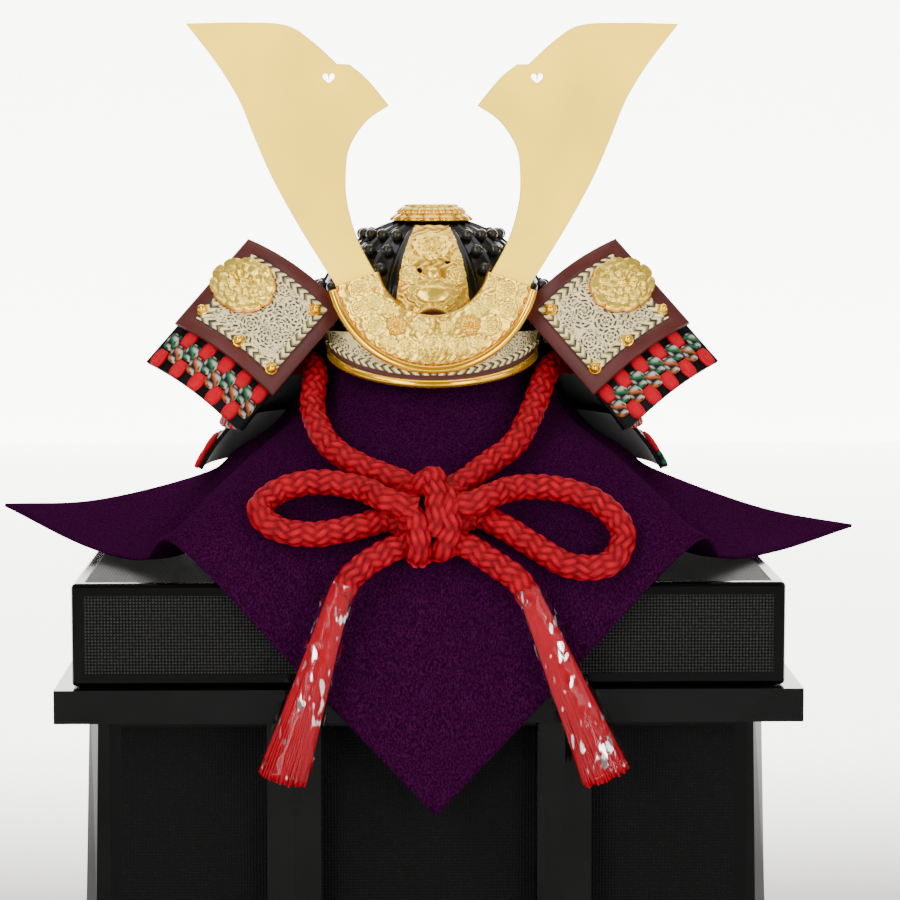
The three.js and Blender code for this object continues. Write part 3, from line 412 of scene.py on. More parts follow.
def braid(line, diameter, sides=48):
    """A tube of crossing strands, each stitch about 5 mm long, with painted shade in the hollows between."""
    step = np.linalg.norm(line[1] - line[0])
    run = (np.arange(len(line)) * step)[:, None]
    turn = (np.arange(sides) / sides)[None, :]
    strands = 8
    pitch = 5.2 * strands
    first = strands * (turn + run / pitch)
    second = strands * (turn - run / pitch)
    i, j = np.floor(first), np.floor(second)
    over = (i - j) % 4 < 2
    lean = np.where(over, first - i, second - j)
    length = np.where(over, (second - i + 1) % 4, (first - j - 2) % 4) / 2
    round_top = np.sqrt(np.maximum(0, 1 - (2 * lean - 1) ** 2))
    ends = np.maximum(0, np.sin(pi * length)) ** 0.5
    height = round_top * (0.2 + 0.8 * ends)
    fibre = 0.5 + 0.5 * np.sin(2 * pi * 4 * lean + 2 * np.sin(4 * length))
    # Painted shade: the red darkens where a strand sinks into the hollows.
    shade = (0.16 + 0.84 * height**1.3) * (0.84 + 0.16 * fibre)
    return pipe(line, diameter / 2 * (0.8 + 0.235 * height), sides), (shade[..., None] * RED).reshape(-1, 3)


def braid_piece(name, line, *replaced):
    shape, colour = braid(line, CORD)
    return piece(name, shape, "red_cord", *replaced, tint=colour)


# The band's hidden turn round the core, at a height and a radius in millimetres
TURN_HEIGHT, TURN_RADIUS = 289.4, 61.6
hidden_turn = [
    (HELMET[0] - TURN_RADIUS * sin(radians(angle)), -TURN_RADIUS * cos(radians(angle)), TURN_HEIGHT)
    for angle in range(55, 306, 25)
]
band_route = [
    (-2, -107, 243), (-12, -101.5, 247.5), (-28, -93.5, 253), (-40, -84, 260), (-47.5, -66.5, 272),
    *hidden_turn,
    (43, -68, 272), (35, -84, 260.5), (24, -93, 253.5), (15.5, -100.5, 248), (6, -107, 243),
]
loop_left = [
    (-5, -116, 238), (-15, -116, 240.5), (-28, -104.5, 245), (-47, -100.5, 247), (-62, -102, 243),
    (-68.5, -107.5, 236.5), (-62, -112.5, 230), (-47, -114.5, 227.5), (-30, -112.5, 230),
    (-15.5, -108, 232.5),
]
loop_right = [
    (8, -117, 238), (18, -116.5, 240.5), (35, -104.5, 245), (54, -102.5, 244), (70, -107.5, 238),
    (78, -114.5, 227.5), (72, -121.5, 216.5), (57, -122.5, 215.5), (42, -117, 223), (29, -112, 230.5),
    (18.5, -107.5, 234),
]
tail_left = [
    (-4, -115, 227), (-12, -119.5, 223.5), (-22, -124, 219), (-31, -129.5, 212.5), (-35.5, -131.8, 205),
]
tail_right = [(7, -116, 227), (16, -120, 223), (26, -125.5, 217), (35, -130.5, 211), (40.5, -132.2, 203)]

band_line = through(band_route, BRAID_STEP)
band = braid_piece("chin_cord_band", band_line, "cord_band")
left_line = through([*loop_left, *tail_left], BRAID_STEP)
right_line = through([*loop_right, *tail_right], BRAID_STEP)
cord_left = braid_piece("chin_cord_left", left_line, "cord_loop_left", "cord_tail_left")
cord_right = braid_piece("chin_cord_right", right_line, "cord_loop_right", "cord_tail_right")

knot_turns = [
    [(-9, -104, 243), (-3, -111, 247), (1.5, -113.5, 250), (3, -118, 243), (3, -121.5, 235), (2, -121, 228)],
    [(12, -106, 241), (8, -113, 243), (7.5, -119, 238), (8, -122, 230), (6, -121, 223), (3, -115, 221)],
    [(-13, -109, 238), (-8, -117, 236), (-4.5, -122.5, 231), (-4.5, -124, 223.5), (-4, -119, 218.5)],
]
knot_parts = [braid(through(route, BRAID_STEP), CORD * 0.98) for route in knot_turns]
knot = piece(
    "chin_cord_knot", joined([shape for shape, _ in knot_parts]), "red_cord", "cord_knot",
    tint=np.vstack([colour for _, colour in knot_parts]),
)

# Tassels: many threads, cut level, in a crinkled sleeve of clear film
TASSELS = {
    "left": ((-34.5, -132, 210), -0.31, left_line, cord_left),
    "right": ((38.5, -132.5, 208), 0.42, right_line, cord_right),
}
TASSEL_LENGTH, HEAD_RADIUS, END_RADIUS = 82.0, 3.9, 9.6
THREADS, THREAD_RADIUS, THREAD_POINTS = 330, 0.42, 7
GOLDEN_ANGLE = 2.39996


def hung(shape, head, lean):
    """A shape drawn downwards from the origin, hung from its head with a lean to one side."""
    down = unit(np.array((lean, 0.0, -1.0)))
    side = unit(np.cross((0.0, 1.0, 0.0), down))
    turn = np.stack((side, np.cross(down, side), down), -1)
    return shape[0] @ turn.T + np.array(head, float), shape[1]


def tassel_threads(seed):
    chance = np.random.default_rng(seed)
    strands = []
    for k in range(THREADS):
        share, angle = sqrt((k + 0.5) / THREADS), k * GOLDEN_ANGLE
        depth = np.linspace(1, TASSEL_LENGTH + chance.uniform(-0.9, 0.9), THREAD_POINTS)
        spread = HEAD_RADIUS + (END_RADIUS - HEAD_RADIUS) * (depth / TASSEL_LENGTH) ** 1.1
        wander = chance.normal(0, 0.12, (THREAD_POINTS, 2)) * np.linspace(0, 1, THREAD_POINTS)[:, None]
        x, y = spread * share * cos(angle), spread * share * sin(angle)
        strands.append(pipe(xyz(x + wander[:, 0], y + wander[:, 1], depth), THREAD_RADIUS, 5))
    return joined(strands)


def film_sleeve(seed):
    chance = np.random.default_rng(seed)
    rows, sides = 64, 64
    depth = np.linspace(0, 1, rows)[:, None]
    angle = (np.arange(sides) / sides * 2 * pi)[None, :]
    radius = HEAD_RADIUS + 2.6 + (END_RADIUS + 1.6 - HEAD_RADIUS - 2.6) * depth
    crinkle = np.zeros((rows, sides))
    for _ in range(26):
        at, turn = chance.uniform(0, 1), chance.uniform(0, 2 * pi)
        slant, width = chance.uniform(-2.5, 2.5), chance.uniform(0.03, 0.08)
        away = np.abs(np.sin((angle - turn) / 2 + slant * (depth - at)))
        near = np.exp(-((depth - at) / chance.uniform(0.06, 0.2)) ** 2)
        crinkle += near * np.exp(-away / width) * chance.uniform(-0.9, 0.55)
    radius = radius + np.clip(crinkle, -1.1, 0.7)
    points = xyz(radius * np.cos(angle), radius * np.sin(angle) * 0.9, depth * (TASSEL_LENGTH - 1.5) - 0.5)
    return slab(points, 0.06, -0.06, wrap_columns=True)


for number, (side, (head, lean, line, owner)) in enumerate(TASSELS.items()):
    threads = piece(
        f"tassel_{side}_threads", hung(tassel_threads(20 + number), head, lean), "thread", f"tassel_{side}",
        slot="red_cord")
    sleeve = piece(
        f"tassel_{side}_film", hung(film_sleeve(40 + number), head, lean), "film", f"tassel_wrap_{side}")


# Draped cloth: spokes from the core's crown to the hem, as on the flat square. Heights are above the lid,
# the crown's stations are radius and height, and the hem's places are shares of half the ledge.
LEDGE_WIDTH, LEDGE_DEPTH = 302.6, 233.6
SHOULDER = BOWL_RADIUS - 2.5 - 0.8 - 0.9
BELT_HEIGHT, BELT_RADIUS = 91.0, SHOULDER + 0.5
CLOTH_HANG = 350 / sqrt(2) - 154
CORE_SHOULDER = 96
CROWN_HEIGHT = sqrt(1 - 0.72**2) * SHOULDER
STATION_KNOTS = (0, 0.13, 0.19, 0.24, 0.28, 0.36, 0.54, 0.74, 0.88, 1)
CROWN_STATIONS = (
    (0, CORE_SHOULDER + CROWN_HEIGHT * 0.8), (SHOULDER * 0.66, CORE_SHOULDER + CROWN_HEIGHT * 0.8),
    (SHOULDER * 0.9, CORE_SHOULDER + SHOULDER * 0.41), (SHOULDER, CORE_SHOULDER + 3),
    (BELT_RADIUS, BELT_HEIGHT),
)
# cloth angle, belt angle, hem x, hem y, four pairs of share and height, hem height, drop
SPOKES = (
    (0, 0, 0, -1.03, 0.15, 0.83, 0.53, 0.43, 0.89, 0.044, 0.985, -0.48, 0, 1),
    (19, 26, -0.342, -1.02, 0.14, 0.82, 0.5, 0.45, 0.86, 0.14, 0.97, -0.13, 0, 0.41),
    (38, 56, -0.7, -0.965, 0.12, 0.77, 0.48, 0.51, 0.76, 0.34, 0.9, 0.245, 0.195, 0),
    (50, 68, -0.79, -0.68, 0.1, 0.73, 0.34, 0.34, 0.6, 0.13, 0.82, 0.07, 0.07, 0),
    (68, 82, -0.98, -0.23, 0.1, 0.73, 0.36, 0.38, 0.6, 0.2, 0.82, 0.09, 0.05, 0),
    (90, 97, -1.283, 0.47, 0.08, 0.7, 0.24, 0.47, 0.37, 0.33, 0.7, 0.185, 0.14, 0),
    (112, 114, -0.93, 0.75, 0.08, 0.7, 0.3, 0.31, 0.55, 0.13, 0.8, 0.065, 0.05, 0),
    (142, 136, -0.68, 0.95, 0.08, 0.72, 0.42, 0.34, 0.72, 0.21, 0.9, 0.15, 0.12, 0),
    (161, 158, -0.335, 1.02, 0.09, 0.72, 0.48, 0.37, 0.86, 0.13, 0.97, -0.13, 0, 0.38),
    (180, 180, 0, 1.03, 0.1, 0.72, 0.5, 0.38, 0.89, 0.044, 0.985, -0.46, 0, 0.9),
)
RIGHT_FALL = {68: 0.03, 90: 0.115}


def spoke_points(row, side):
    angle, belt, hem_x, hem_y, *outer, hem_height, drop = row
    hem_x, hem_y = hem_x * LEDGE_WIDTH / 2, hem_y * LEDGE_DEPTH / 2
    hem_angle, hem_radius = atan2(abs(hem_x), -hem_y), hypot(hem_x, hem_y)
    fall = RIGHT_FALL.get(angle, 0) if side > 0 else 0
    stations = [(radians(belt), radius, height) for radius, height in CROWN_STATIONS]
    pairs = [[outer[k], outer[k + 1] * BELT_HEIGHT] for k in range(0, 8, 2)]
    pairs[3][1] -= fall * 0.5 * BELT_HEIGHT
    pairs.append([1, (hem_height - fall) * BELT_HEIGHT - drop * CLOTH_HANG])
    for share, height in pairs:
        turned = radians(belt) + (hem_angle - radians(belt)) * share
        stations.append((turned, BELT_RADIUS + (hem_radius - BELT_RADIUS) * share, height))
    return [(side * sin(a) * r, -cos(a) * r, z) for a, r, z in stations]


def knot_weights(knots, at):
    """How much each knot's value counts at each place of a smooth curve with free ends."""
    knots = np.asarray(knots, float)
    count = len(knots)
    k = np.clip(np.searchsorted(knots, at, side="left") - 1, 0, count - 2)
    slope = (np.eye(count)[1:] - np.eye(count)[:-1]) / np.diff(knots)[:, None]
    tangent = np.vstack((slope[:1], (slope[:-1] + slope[1:]) / 2, slope[-1:]))
    span = knots[k + 1] - knots[k]
    s = (at - knots[k]) / span
    bend = s * s * (3 - 2 * s)
    pull = (s * (1 - s) * span)[:, None] * ((1 - s)[:, None] * tangent[k] - s[:, None] * tangent[k + 1])
    return (1 - bend)[:, None] * np.eye(count)[k] + bend[:, None] * np.eye(count)[k + 1] + pull


def cloth_grid(per_quarter=56, rows=80):
    ring = [(row[0], spoke_points(row, -1)) for row in SPOKES]
    ring += [(360 - row[0], spoke_points(row, 1)) for row in SPOKES[-2:0:-1]]
    lapped = [(k - 360, s) for k, s in ring[-2:]] + ring + [(k + 360, s) for k, s in ring[:2]]
    out = np.linspace(0, 1, rows + 1)
    radial = knot_weights(STATION_KNOTS, out)
    turns = np.arange(4 * per_quarter) / per_quarter * 90.0

    def surface(spokes, angles):
        table = np.array([stations for _, stations in spokes])
        round_it = knot_weights([knot for knot, _ in spokes], angles)
        return np.einsum("as,skc,rk->arc", round_it, table, radial)

    whole = surface(lapped, turns)
    closed = [*ring, (360, ring[0][1])]
    sharp = []
    for quarter in range(4):
        low = quarter * 90
        spokes = [(knot, s) for knot, s in closed if low <= knot <= low + 90]
        sharp.append(surface(spokes, turns[quarter * per_quarter:(quarter + 1) * per_quarter]))
    weight = smooth(out, 0.6, 0.95)[None, :, None]
    points = whole * (1 - weight) + np.concatenate(sharp) * weight
    return points + np.array((HELMET[0], 0, LID_TOP)), turns, out


cloth_points, cloth_turns, cloth_out = cloth_grid()
soft = smooth(cloth_out, 0.35, 0.8)[None, :] * (1 - smooth(cloth_out, 0.9, 1.0))[None, :]
swell = 0.35 * np.sin(radians(9) * cloth_turns[:, None] + 4 * cloth_out[None, :]) * soft
cloth_points = cloth_points + normals(cloth_points, wrap_rows=True) * swell[..., None]
cloth = piece("draped_cloth", slab(cloth_points, 0.7, -0.7, wrap_rows=True), "crepe", "cloth")


# Helmet bowl: ribbed plates with rows of ball rivets, but none on the plates beside the front one
def bowl_points(azimuth, elevation, lift=0.0):
    radius = BOWL_RADIUS + lift
    return xyz(
        radius * np.cos(elevation) * np.sin(azimuth),
        -radius * np.cos(elevation) * np.cos(azimuth),
        (BOWL_HEIGHT + lift) * np.sin(elevation),
    ) + HELMET


azimuths = np.linspace(0, 2 * pi, PLATES * 12, endpoint=False)
elevations = np.linspace(0, radians(82), 40)
between = ((azimuths / (2 * pi) * PLATES + 0.5) % 1) - 0.5
rib = np.exp(-((np.abs(between) - 0.5) / 0.055) ** 2)
plate = 0.35 * (1 - (2 * between) ** 2) * 0.5
height = (rib * RIB * 0.95 + plate)[:, None] * smooth(np.cos(elevations), 0.12, 0.35)[None, :]
ball = bowl_points(azimuths[:, None], elevations[None, :])
piece("bowl_plates", slab(ball, height, -2.4, wrap_rows=True), "steel", "bowl")

ball_turns = np.linspace(-0.75, pi / 2 - 0.02, 11)
ball_rivet = turned_shape([(2.5 * cos(t), 1.5 + 2.5 * sin(t)) for t in ball_turns], 18)
rivets = []
for plate_number in range(2, PLATES - 1):
    for elevation in np.radians(np.linspace(12, 56, 5)):
        azimuth = radians(360 / PLATES * plate_number)
        where = bowl_points(azimuth, elevation, 0.1)
        facing = bowl_points(azimuth, elevation, 1.1) - where
        rivets.append((ball_rivet[0] @ standing(facing).T + where, ball_rivet[1]))
piece("bowl_rivets", joined(rivets), "rivet", slot="steel")

# Crown ornament: a lobed disc, a ring of small petals and a flat petalled top
CROWN = BOWL_HEIGHT + RIB + 0.3


def petal_ring(profile, petals, depth, sides=144, sharp=0.5):
    """A turned ring whose radius dips between petals; profile rows are radius and height."""
    angle = np.arange(sides) / sides * 2 * pi
    dip = 1 - depth * (1 - np.abs(np.cos(angle * petals / 2)) ** sharp)
    points = np.array([[(r * d * cos(a), r * d * sin(a), z) for a, d in zip(angle, dip)] for r, z in profile])
    faces = grid_faces(len(profile), sides, wrap_rows=True, wrap_columns=True)[:, ::-1]
    return points.reshape(-1, 3), faces.tolist()


def sunk(radius):
    return BOWL_HEIGHT * (1 - sqrt(1 - (radius / BOWL_RADIUS) ** 2))


verts, faces = joined([
    petal_ring([(4, 0), (11, -sunk(11)), (17.8, 0.4 - sunk(18)), (18.5, -2.2), (17.4, -0.9), (15, 0.7),
                (4, 1)], 12, 0.1),
    petal_ring([(4, 0.8), (14.9, 0.4), (15.3, 1.2), (13.9, 2.8), (12.4, 3.5), (4, 3.7)], 26, 0.07, 312),
    petal_ring([(4, 3.2), (11.6, 3.3), (12, 4), (10.8, 4.5), (7.5, 4.5), (5, 4.1), (4, 3.6)], 8, 0.12),
])
# Painted light: the petals are tinted darker low down and lighter towards the top.
light = smooth(verts[:, 2], -3, 3)[:, None]
tint = np.array((0.75, 0.6, 0.4)) * (1 - light) + np.array((1, 0.98, 0.9)) * light
piece("crown_petals", (verts + HELMET + (0, 0, CROWN), faces), "relief_gold", "crown_ornament", tint=tint)


# Relief helpers: flowers and leaves as heights over a flat pair of coordinates
def flower(x, y, radius, petals, height):
    """Three rings of cupped petals with scalloped edges about a small boss."""
    away, angle = np.hypot(x, y), np.arctan2(y, x)
    made = height * 1.2 * np.sqrt(np.clip(1 - (away / (radius * 0.17)) ** 2, 0, 1))
    for ring, share in enumerate((1.0, 0.7, 0.42)):
        lobe = np.abs(np.cos(petals * angle / 2 + ring * 1.3)) ** 0.6
        out = away / (radius * share * (0.84 + 0.16 * lobe))
        cup = (0.5 + 0.5 * out**2) * (1 - smooth(out, 0.92, 1.0)) * (0.72 + 0.28 * lobe)
        made = np.maximum(made, height * (0.62 + 0.22 * ring) * cup)
    return made


def boss(x, y, radius, height):
    return height * np.sqrt(np.clip(1 - (x * x + y * y) / radius**2, 0, 1))


def leaf_scroll(x, y, scale):
    """Close leafy relief of curled ridges."""
    x, y = x / scale, y / scale
    wave = np.sin(x + 1.7 * np.sin(y * 0.7)) * np.sin(y + 1.9 * np.sin(x * 0.8))
    fine = np.sin(2.7 * x + 2 * np.cos(1.3 * y)) * np.cos(2.3 * y)
    return 0.5 + 0.38 * wave + 0.22 * fine


def recess_shaded(depth, floor, top, deep=(0.6, 0.42, 0.2), high=(1, 1, 1)):
    """Warm orange painted shade in the recesses, bright on the heights."""
    share = smooth(depth, floor, top)[..., None]
    return (np.array(deep) * (1 - share) + np.array(high) * share).reshape(-1, 3)


# Front plate: its foot, rise and half width in degrees on the bowl. Its flowers: elevation, place to each
# side, narrowing across and up, radius, petals, rise, base
PLATE_FLOWERS = (
    (47.5, 0, 1, 1.1, 8.8, 8, 2.6, 0.6), (20.5, 0, 0.72, 1.15, 8.2, 9, 2.3, 0.5),
    (30, 9.6, 1, 1, 4.6, 7, 1.8, 0.7), (39, 10.6, 1, 1, 3.4, 6, 1.5, 0.7),
)
PLATE_FOOT, PLATE_RISE, PLATE_HALF = 10, 54, 17.3
plate_u = np.linspace(-1, 1, 120)[:, None]
plate_v = np.linspace(0, 1, 160)[None, :]
plate_elevation = radians(PLATE_FOOT) + radians(PLATE_RISE) * plate_v
plate_azimuth = radians(PLATE_HALF) * plate_u * np.ones_like(plate_v)
x = plate_azimuth * BOWL_RADIUS * np.cos(plate_elevation)
y = np.degrees(plate_elevation) * np.ones_like(x)


def above(degrees):
    """Distance up the plate from a given elevation."""
    return (y - degrees) * radians(1) * BOWL_RADIUS


leafy = leaf_scroll(x, above(PLATE_FOOT), 2.1)
relief = 0.7 + 0.7 * leafy
for degrees, to_side, wide, tall, radius, petals, rise, base in PLATE_FLOWERS:
    for side in (-1, 1):
        bloom = flower((x - side * to_side) * wide, above(degrees) * tall, radius, petals, rise)
        relief = np.maximum(relief, base + bloom)
pillow = boss(x * 0.62, above(20), 4.2, 1.5)
relief = np.maximum(relief, np.where(pillow > 0, 1.9 + pillow + 0.2 * leafy, 0))
knob = boss(x, above(30.5), 3.2, 2.2)
relief = np.maximum(relief, np.where(knob > 0, 1.5 + knob, 0))
holes = np.minimum(np.hypot(x + 5.4, above(33) / 1.5), np.hypot((x - 6.2) / 1.2, above(37.5) / 1.1))
relief = np.where(holes < 1, 0.15, relief)
ARC_HALF = 1.1
arc = above(13.5) + 3.2 * (x / 7) ** 2
ridge = 2.4 * np.sqrt(np.clip(1 - (arc / ARC_HALF) ** 2, 0, 1)) + 0.3
relief = np.where((np.abs(arc) < ARC_HALF) & (np.abs(x) < 8), ridge, relief)
under_arc = (arc <= -ARC_HALF) & (np.abs(x) < 7.5)
relief = np.where(under_arc, 0.2, relief)
plate_points = bowl_points(plate_azimuth, plate_elevation * np.ones_like(plate_azimuth))
front_plate = slab(plate_points, np.clip(relief, 0.1, 4.4) + RIB + 0.3, RIB + 0.3)
# Painted shade: the plate's recesses are tinted darker orange than its heights.
tint = recess_shaded(relief, 0.55, 1.6)
tint[(holes < 1).ravel()] = 0.004
tint[under_arc.ravel()] = (0.12, 0.03, 0.2)
piece("front_plate_relief", front_plate, "relief_gold", "front_plate", tint=np.vstack((tint, tint)))


# Printed leather, and the striped braid that edges it
def printed(x, y, seed, curls=110):
    """Cream leather with small black curls and dots."""
    chance = np.random.default_rng(seed)
    ink = np.zeros(x.shape)
    for _ in range(curls):
        cx, cy = chance.uniform(x.min(), x.max()), chance.uniform(y.min(), y.max())
        reach, pitch = chance.uniform(2.2, 5), chance.uniform(1.3, 1.75)
        away, angle = np.hypot(x - cx, y - cy), np.arctan2(y - cy, x - cx)
        turn = angle / (2 * pi) * chance.choice((-1, 1)) + chance.uniform()
        stroke = np.abs((away / pitch - turn) % 1 - 0.5)
        petal = np.cos(angle * 7 + away * 1.5) > -0.5
        mark = (stroke < 0.27) & (away < reach) & petal
        ink = np.where(away < reach * 1.08, mark, ink)
    dots = np.sin(x * 5.2) * np.sin(y * 5.2 + 1.1 * np.floor(x * 1.65)) > 0.62
    ink = np.maximum(ink, dots & (leaf_scroll(x, y, 3.1) > 0.62))[..., None]
    shade = 0.9 + 0.2 * leaf_scroll(x, y, 2.4)[..., None]
    return CREAM * shade * (1 - ink) + INK * ink


def herringbone(along, across, pitch):
    """Slanted stitches that lean both ways from the middle; across runs from 0 to 1."""
    slant = np.abs(across - 0.5) * 2
    phase = (along / pitch + slant * 0.55) % 1
    colour = np.where((phase < 0.52)[..., None], CREAM * 1.15, OLIVE)
    colour = np.where(((phase > 0.78) | (phase < 0.04))[..., None], INK, colour)
    raised = np.sin(pi * np.clip(phase / 0.52, 0, 1)) * np.sqrt(np.clip(1 - (2 * across - 1) ** 2, 0, 1))
    return colour, raised


# Visor: half its width, its reach before the bowl, how far its ends come back, and its drop
VISOR_HALF, VISOR_REACH, VISOR_BACK, VISOR_DROP = 43, 19, 38, 17
VISOR_SWING = radians(80)
EDGE_BAND, BRAID_BAND = 2.1, 3.9


def visor_edge(share):
    swing = VISOR_SWING * share
    return xyz(
        VISOR_HALF * np.sin(swing) / sin(VISOR_SWING),
        -BOWL_RADIUS - VISOR_REACH + VISOR_BACK * (1 - np.cos(swing)),
        -VISOR_DROP + VISOR_DROP * 0.9 * (1 - np.cos(radians(75) * share)),
    ) + HELMET


def visor_root(share):
    radius = BOWL_RADIUS + RIB + 1.2
    azimuth = radians(57) * share
    return xyz(radius * np.sin(azimuth), -radius * np.cos(azimuth), 1.0) + HELMET


share = np.linspace(-1, 1, 370)
down = np.linspace(0, 1, 56)[None, :]
edge, root = visor_edge(share), visor_root(share)
visor_points = root[:, None] * (1 - down)[..., None] + edge[:, None] * down[..., None]
reach = np.linalg.norm(edge - root, axis=1)[:, None] * (1 - down)
run = run_along(edge)[:, None] * np.ones_like(reach)
colour = printed(run, reach, 5)
across = np.clip((reach - EDGE_BAND) / BRAID_BAND, 0, 1)
stitches, raised = herringbone(np.abs(run - run.max() / 2), across, 3.9)
is_edge, is_braid = reach <= EDGE_BAND, (reach > EDGE_BAND) & (reach < EDGE_BAND + BRAID_BAND)
colour = np.where(is_braid[..., None], stitches, colour)
colour = np.where(is_edge[..., None], np.array((0.06, 0.008, 0.008)), colour)
lift = 0.85 + np.where(is_braid, 0.15 + 0.9 * raised, 0) + np.where(is_edge, 0.12, 0)
tint = colour.reshape(-1, 3)
piece("visor_leather", outer_slab(visor_points, lift, -0.85, (0, -1, 0)), "printed_leather", "visor",
      tint=np.vstack((tint, tint * 0 + 0.05)))


def rim_point(share):
    """A place of the rim, just outside the visor's edge."""
    ahead = unit(visor_edge(share + 0.01) - visor_edge(share - 0.01))
    outward = visor_edge(share) - visor_root(share)
    return visor_edge(share) + unit(outward - ahead * outward.dot(ahead)) * 1.8


def rim_end(end):
    """The rim's way from the visor's edge up to its root."""
    edge, root = visor_edge(end), visor_root(end)
    ahead = unit(edge - visor_edge(end * 0.98))
    corner = edge + (ahead + unit(edge - root)) * 1.0
    return [corner, *(edge * (1 - t) + root * t + ahead * 1.8 for t in (0.15, 0.5, 0.95))]


rim_line = [rim_point(share) for share in np.linspace(-1, 1, 150)]
rim_line = through([*rim_end(-1.0)[::-1], *rim_line[2:-2:6], *rim_end(1.0)], 0.9)
piece("visor_rim_wire", pipe(rim_line, 1.7, 24), "rim_gold", "visor_rim")

# Horn holder: a crescent between two arcs, each a radius, its middle's height and its half angle
HOLDER_STAND, HOLDER_BEND, HOLDER_LEAN = -BOWL_RADIUS - 16, 120.0, 0.12
INNER, OUTER = (23.2, 33.1, 76.6), (41.4, 30.5, 77.4)


def on_holder(x, z):
    lowest = OUTER[1] - OUTER[0]
    return xyz(x, HOLDER_STAND + x * x / (2 * HOLDER_BEND) + (z - lowest) * HOLDER_LEAN, z) + HELMET


def holder_flat(arc, share, grow=0.0):
    angle = radians(arc[2]) * share
    return (arc[0] + grow) * np.sin(angle), arc[1] - (arc[0] + grow) * np.cos(angle)


# angle from the lowest point, distance from the crescent's middle, flower radius
HOLDER_FLOWERS = (
    (0, 33.6, 5.6), (16, 35.6, 4.4), (29, 37.6, 3.4), (12, 26.8, 2.8), (42, 35, 4.8), (44, 26.6, 3.2),
    (55, 28.6, 3.8), (58, 36, 4.2), (70, 32.4, 4.9), (71, 26.2, 2.6),
)
share = np.linspace(-1, 1, 330)[:, None]
inwards = np.linspace(0, 1, 68)[None, :]
outer_x, outer_z = holder_flat(OUTER, share)
inner_x, inner_z = holder_flat(INNER, share)
x = outer_x * (1 - inwards) + inner_x * inwards
z = outer_z * (1 - inwards) + inner_z * inwards
depth = 0.5 + 0.55 * leaf_scroll(x, z, 1.9)
for angle, away, size in HOLDER_FLOWERS:
    for side in (-1, 1):
        over = x - side * away * sin(radians(angle))
        depth = np.maximum(depth, 0.35 + flower(over, z - 31.8 + away * cos(radians(angle)), size, 8, 1.6))
scallop = 0.5 + 0.5 * np.cos(share * 64)
edge_band = smooth(inwards, 0.0, 0.03) * (1 - smooth(inwards, 0.97, 1.0))
depth = depth * edge_band + 0.1
depth = np.where(inwards * 18 < 1.3 * scallop, 0.2, depth)
holder_points = on_holder(x, z)
holder = outer_slab(holder_points, depth + 0.8, -0.8, (0, -1, 0))
# Painted shade: the holder's recesses are tinted darker orange than its heights.
tint = recess_shaded(depth, 0.25, 1.15, high=(1, 1, 0.97))
piece("holder_relief", holder, "relief_gold", "horn_holder", tint=np.vstack((tint, tint)))
rim_x, rim_z = holder_flat(OUTER, np.linspace(-0.98, 0.98, 150), 1.65)
piece("holder_rim_wire", pipe(on_holder(rim_x, rim_z) + (0, -1.5, 0), 1.8, 24), "rim_gold", "holder_rim")


def chrysanthemum(radius, petals):
    """A round head of raised petals about a small centre."""
    parts = [dome_shape(radius * 0.3, radius * 0.55, 16, 6)]
    petal, faces = dome_shape(1, 1, 12, 5)
    petal = petal * np.array((radius * 0.42, radius * 0.2, radius * 0.26)) + np.array((radius * 0.58, 0, 0))
    parts += [(petal @ z_turn(2 * pi * k / petals).T, faces) for k in range(petals)]
    base = [(0.1, -0.2), (radius * 0.93, -0.2), (radius, 0.2), (radius * 0.93, 0.5), (0.1, 0.6)]
    return joined([*parts, petal_ring(base, petals, 0.08)])


FLOWER_X, FLOWER_Z = 15.1, 5.6
for side, name in SIDES:
    seat = on_holder(FLOWER_X * side, FLOWER_Z)
    facing = unit(np.array((side * FLOWER_X / HOLDER_BEND, -1.0, HOLDER_LEAN)))
    verts, faces = chrysanthemum(4.2, 14)
    verts = verts @ standing(facing).T + seat + facing * 2.3
    piece(f"holder_flower_{name}", (verts, faces), "relief_gold", f"holder_stud_{name}", slot="rim_gold",
          tint=np.tile((0.95, 0.82, 0.5), (len(verts), 1)))

# Horns
HORN_BACK = ((0.395, 0), (0.454, 0.088), (0.542, 0.223), (0.645, 0.399), (0.72, 0.56), (0.784, 0.708),
             (0.875, 0.849), (0.998, 1))
HORN_TOP = ((0.998, 1), (0.8, 1.002), (0.6, 0.992), (0.49, 0.93), (0.387, 0.841))
HORN_LOBE = ((0.339, 0.84), (0.285, 0.8), (0.236, 0.75), (0.181, 0.685))
HORN_FRONT = ((0.181, 0.685), (0.271, 0.625), (0.339, 0.525), (0.355, 0.415), (0.348, 0.307), (0.308, 0.173),
              (0.236, 0.042))
HORN_SPREAD, HORN_HEIGHT, HORN_SWEEP = 105.0, 108.0, 12.0


def flat_spline(rows, count=14):
    points = np.array(rows, float)
    padded = np.vstack((points[:1], points, points[-1:]))
    made = []
    for k in range(1, len(padded) - 2):
        t = np.linspace(0, 1, count, endpoint=False)[:, None]
        a, b, c, d = padded[k - 1], padded[k], padded[k + 1], padded[k + 2]
        v0, v1 = (c - a) / 2, (d - b) / 2
        made.append((2 * b - 2 * c + v0 + v1) * t**3 + (-3 * b + 3 * c - 2 * v0 - v1) * t**2 + v0 * t + b)
    return np.vstack((*made, points[-1:]))


def horn_outline():
    parts = [flat_spline(rows) for rows in (HORN_BACK, HORN_TOP, HORN_LOBE, HORN_FRONT)]
    outline = np.vstack([parts[0], parts[1][1:], parts[2], parts[3][1:]])
    outline = outline * np.array((-HORN_SPREAD, HORN_HEIGHT))
    start, end = outline[0] + (3, -12), outline[-1] + (-3, -12)
    return np.vstack((start[None], outline, end[None]))


def heart_outline():
    cx, cy, size = -0.42 * HORN_SPREAD, 0.79 * HORN_HEIGHT, 5.8
    t = np.linspace(0, 2 * pi, 40, endpoint=False)
    x = 16 * np.sin(t) ** 3
    y = 13 * np.cos(t) - 5 * np.cos(2 * t) - 2 * np.cos(3 * t) - np.cos(4 * t)
    return np.stack((cx + x * size / 32, cy + y * size / 32), -1)


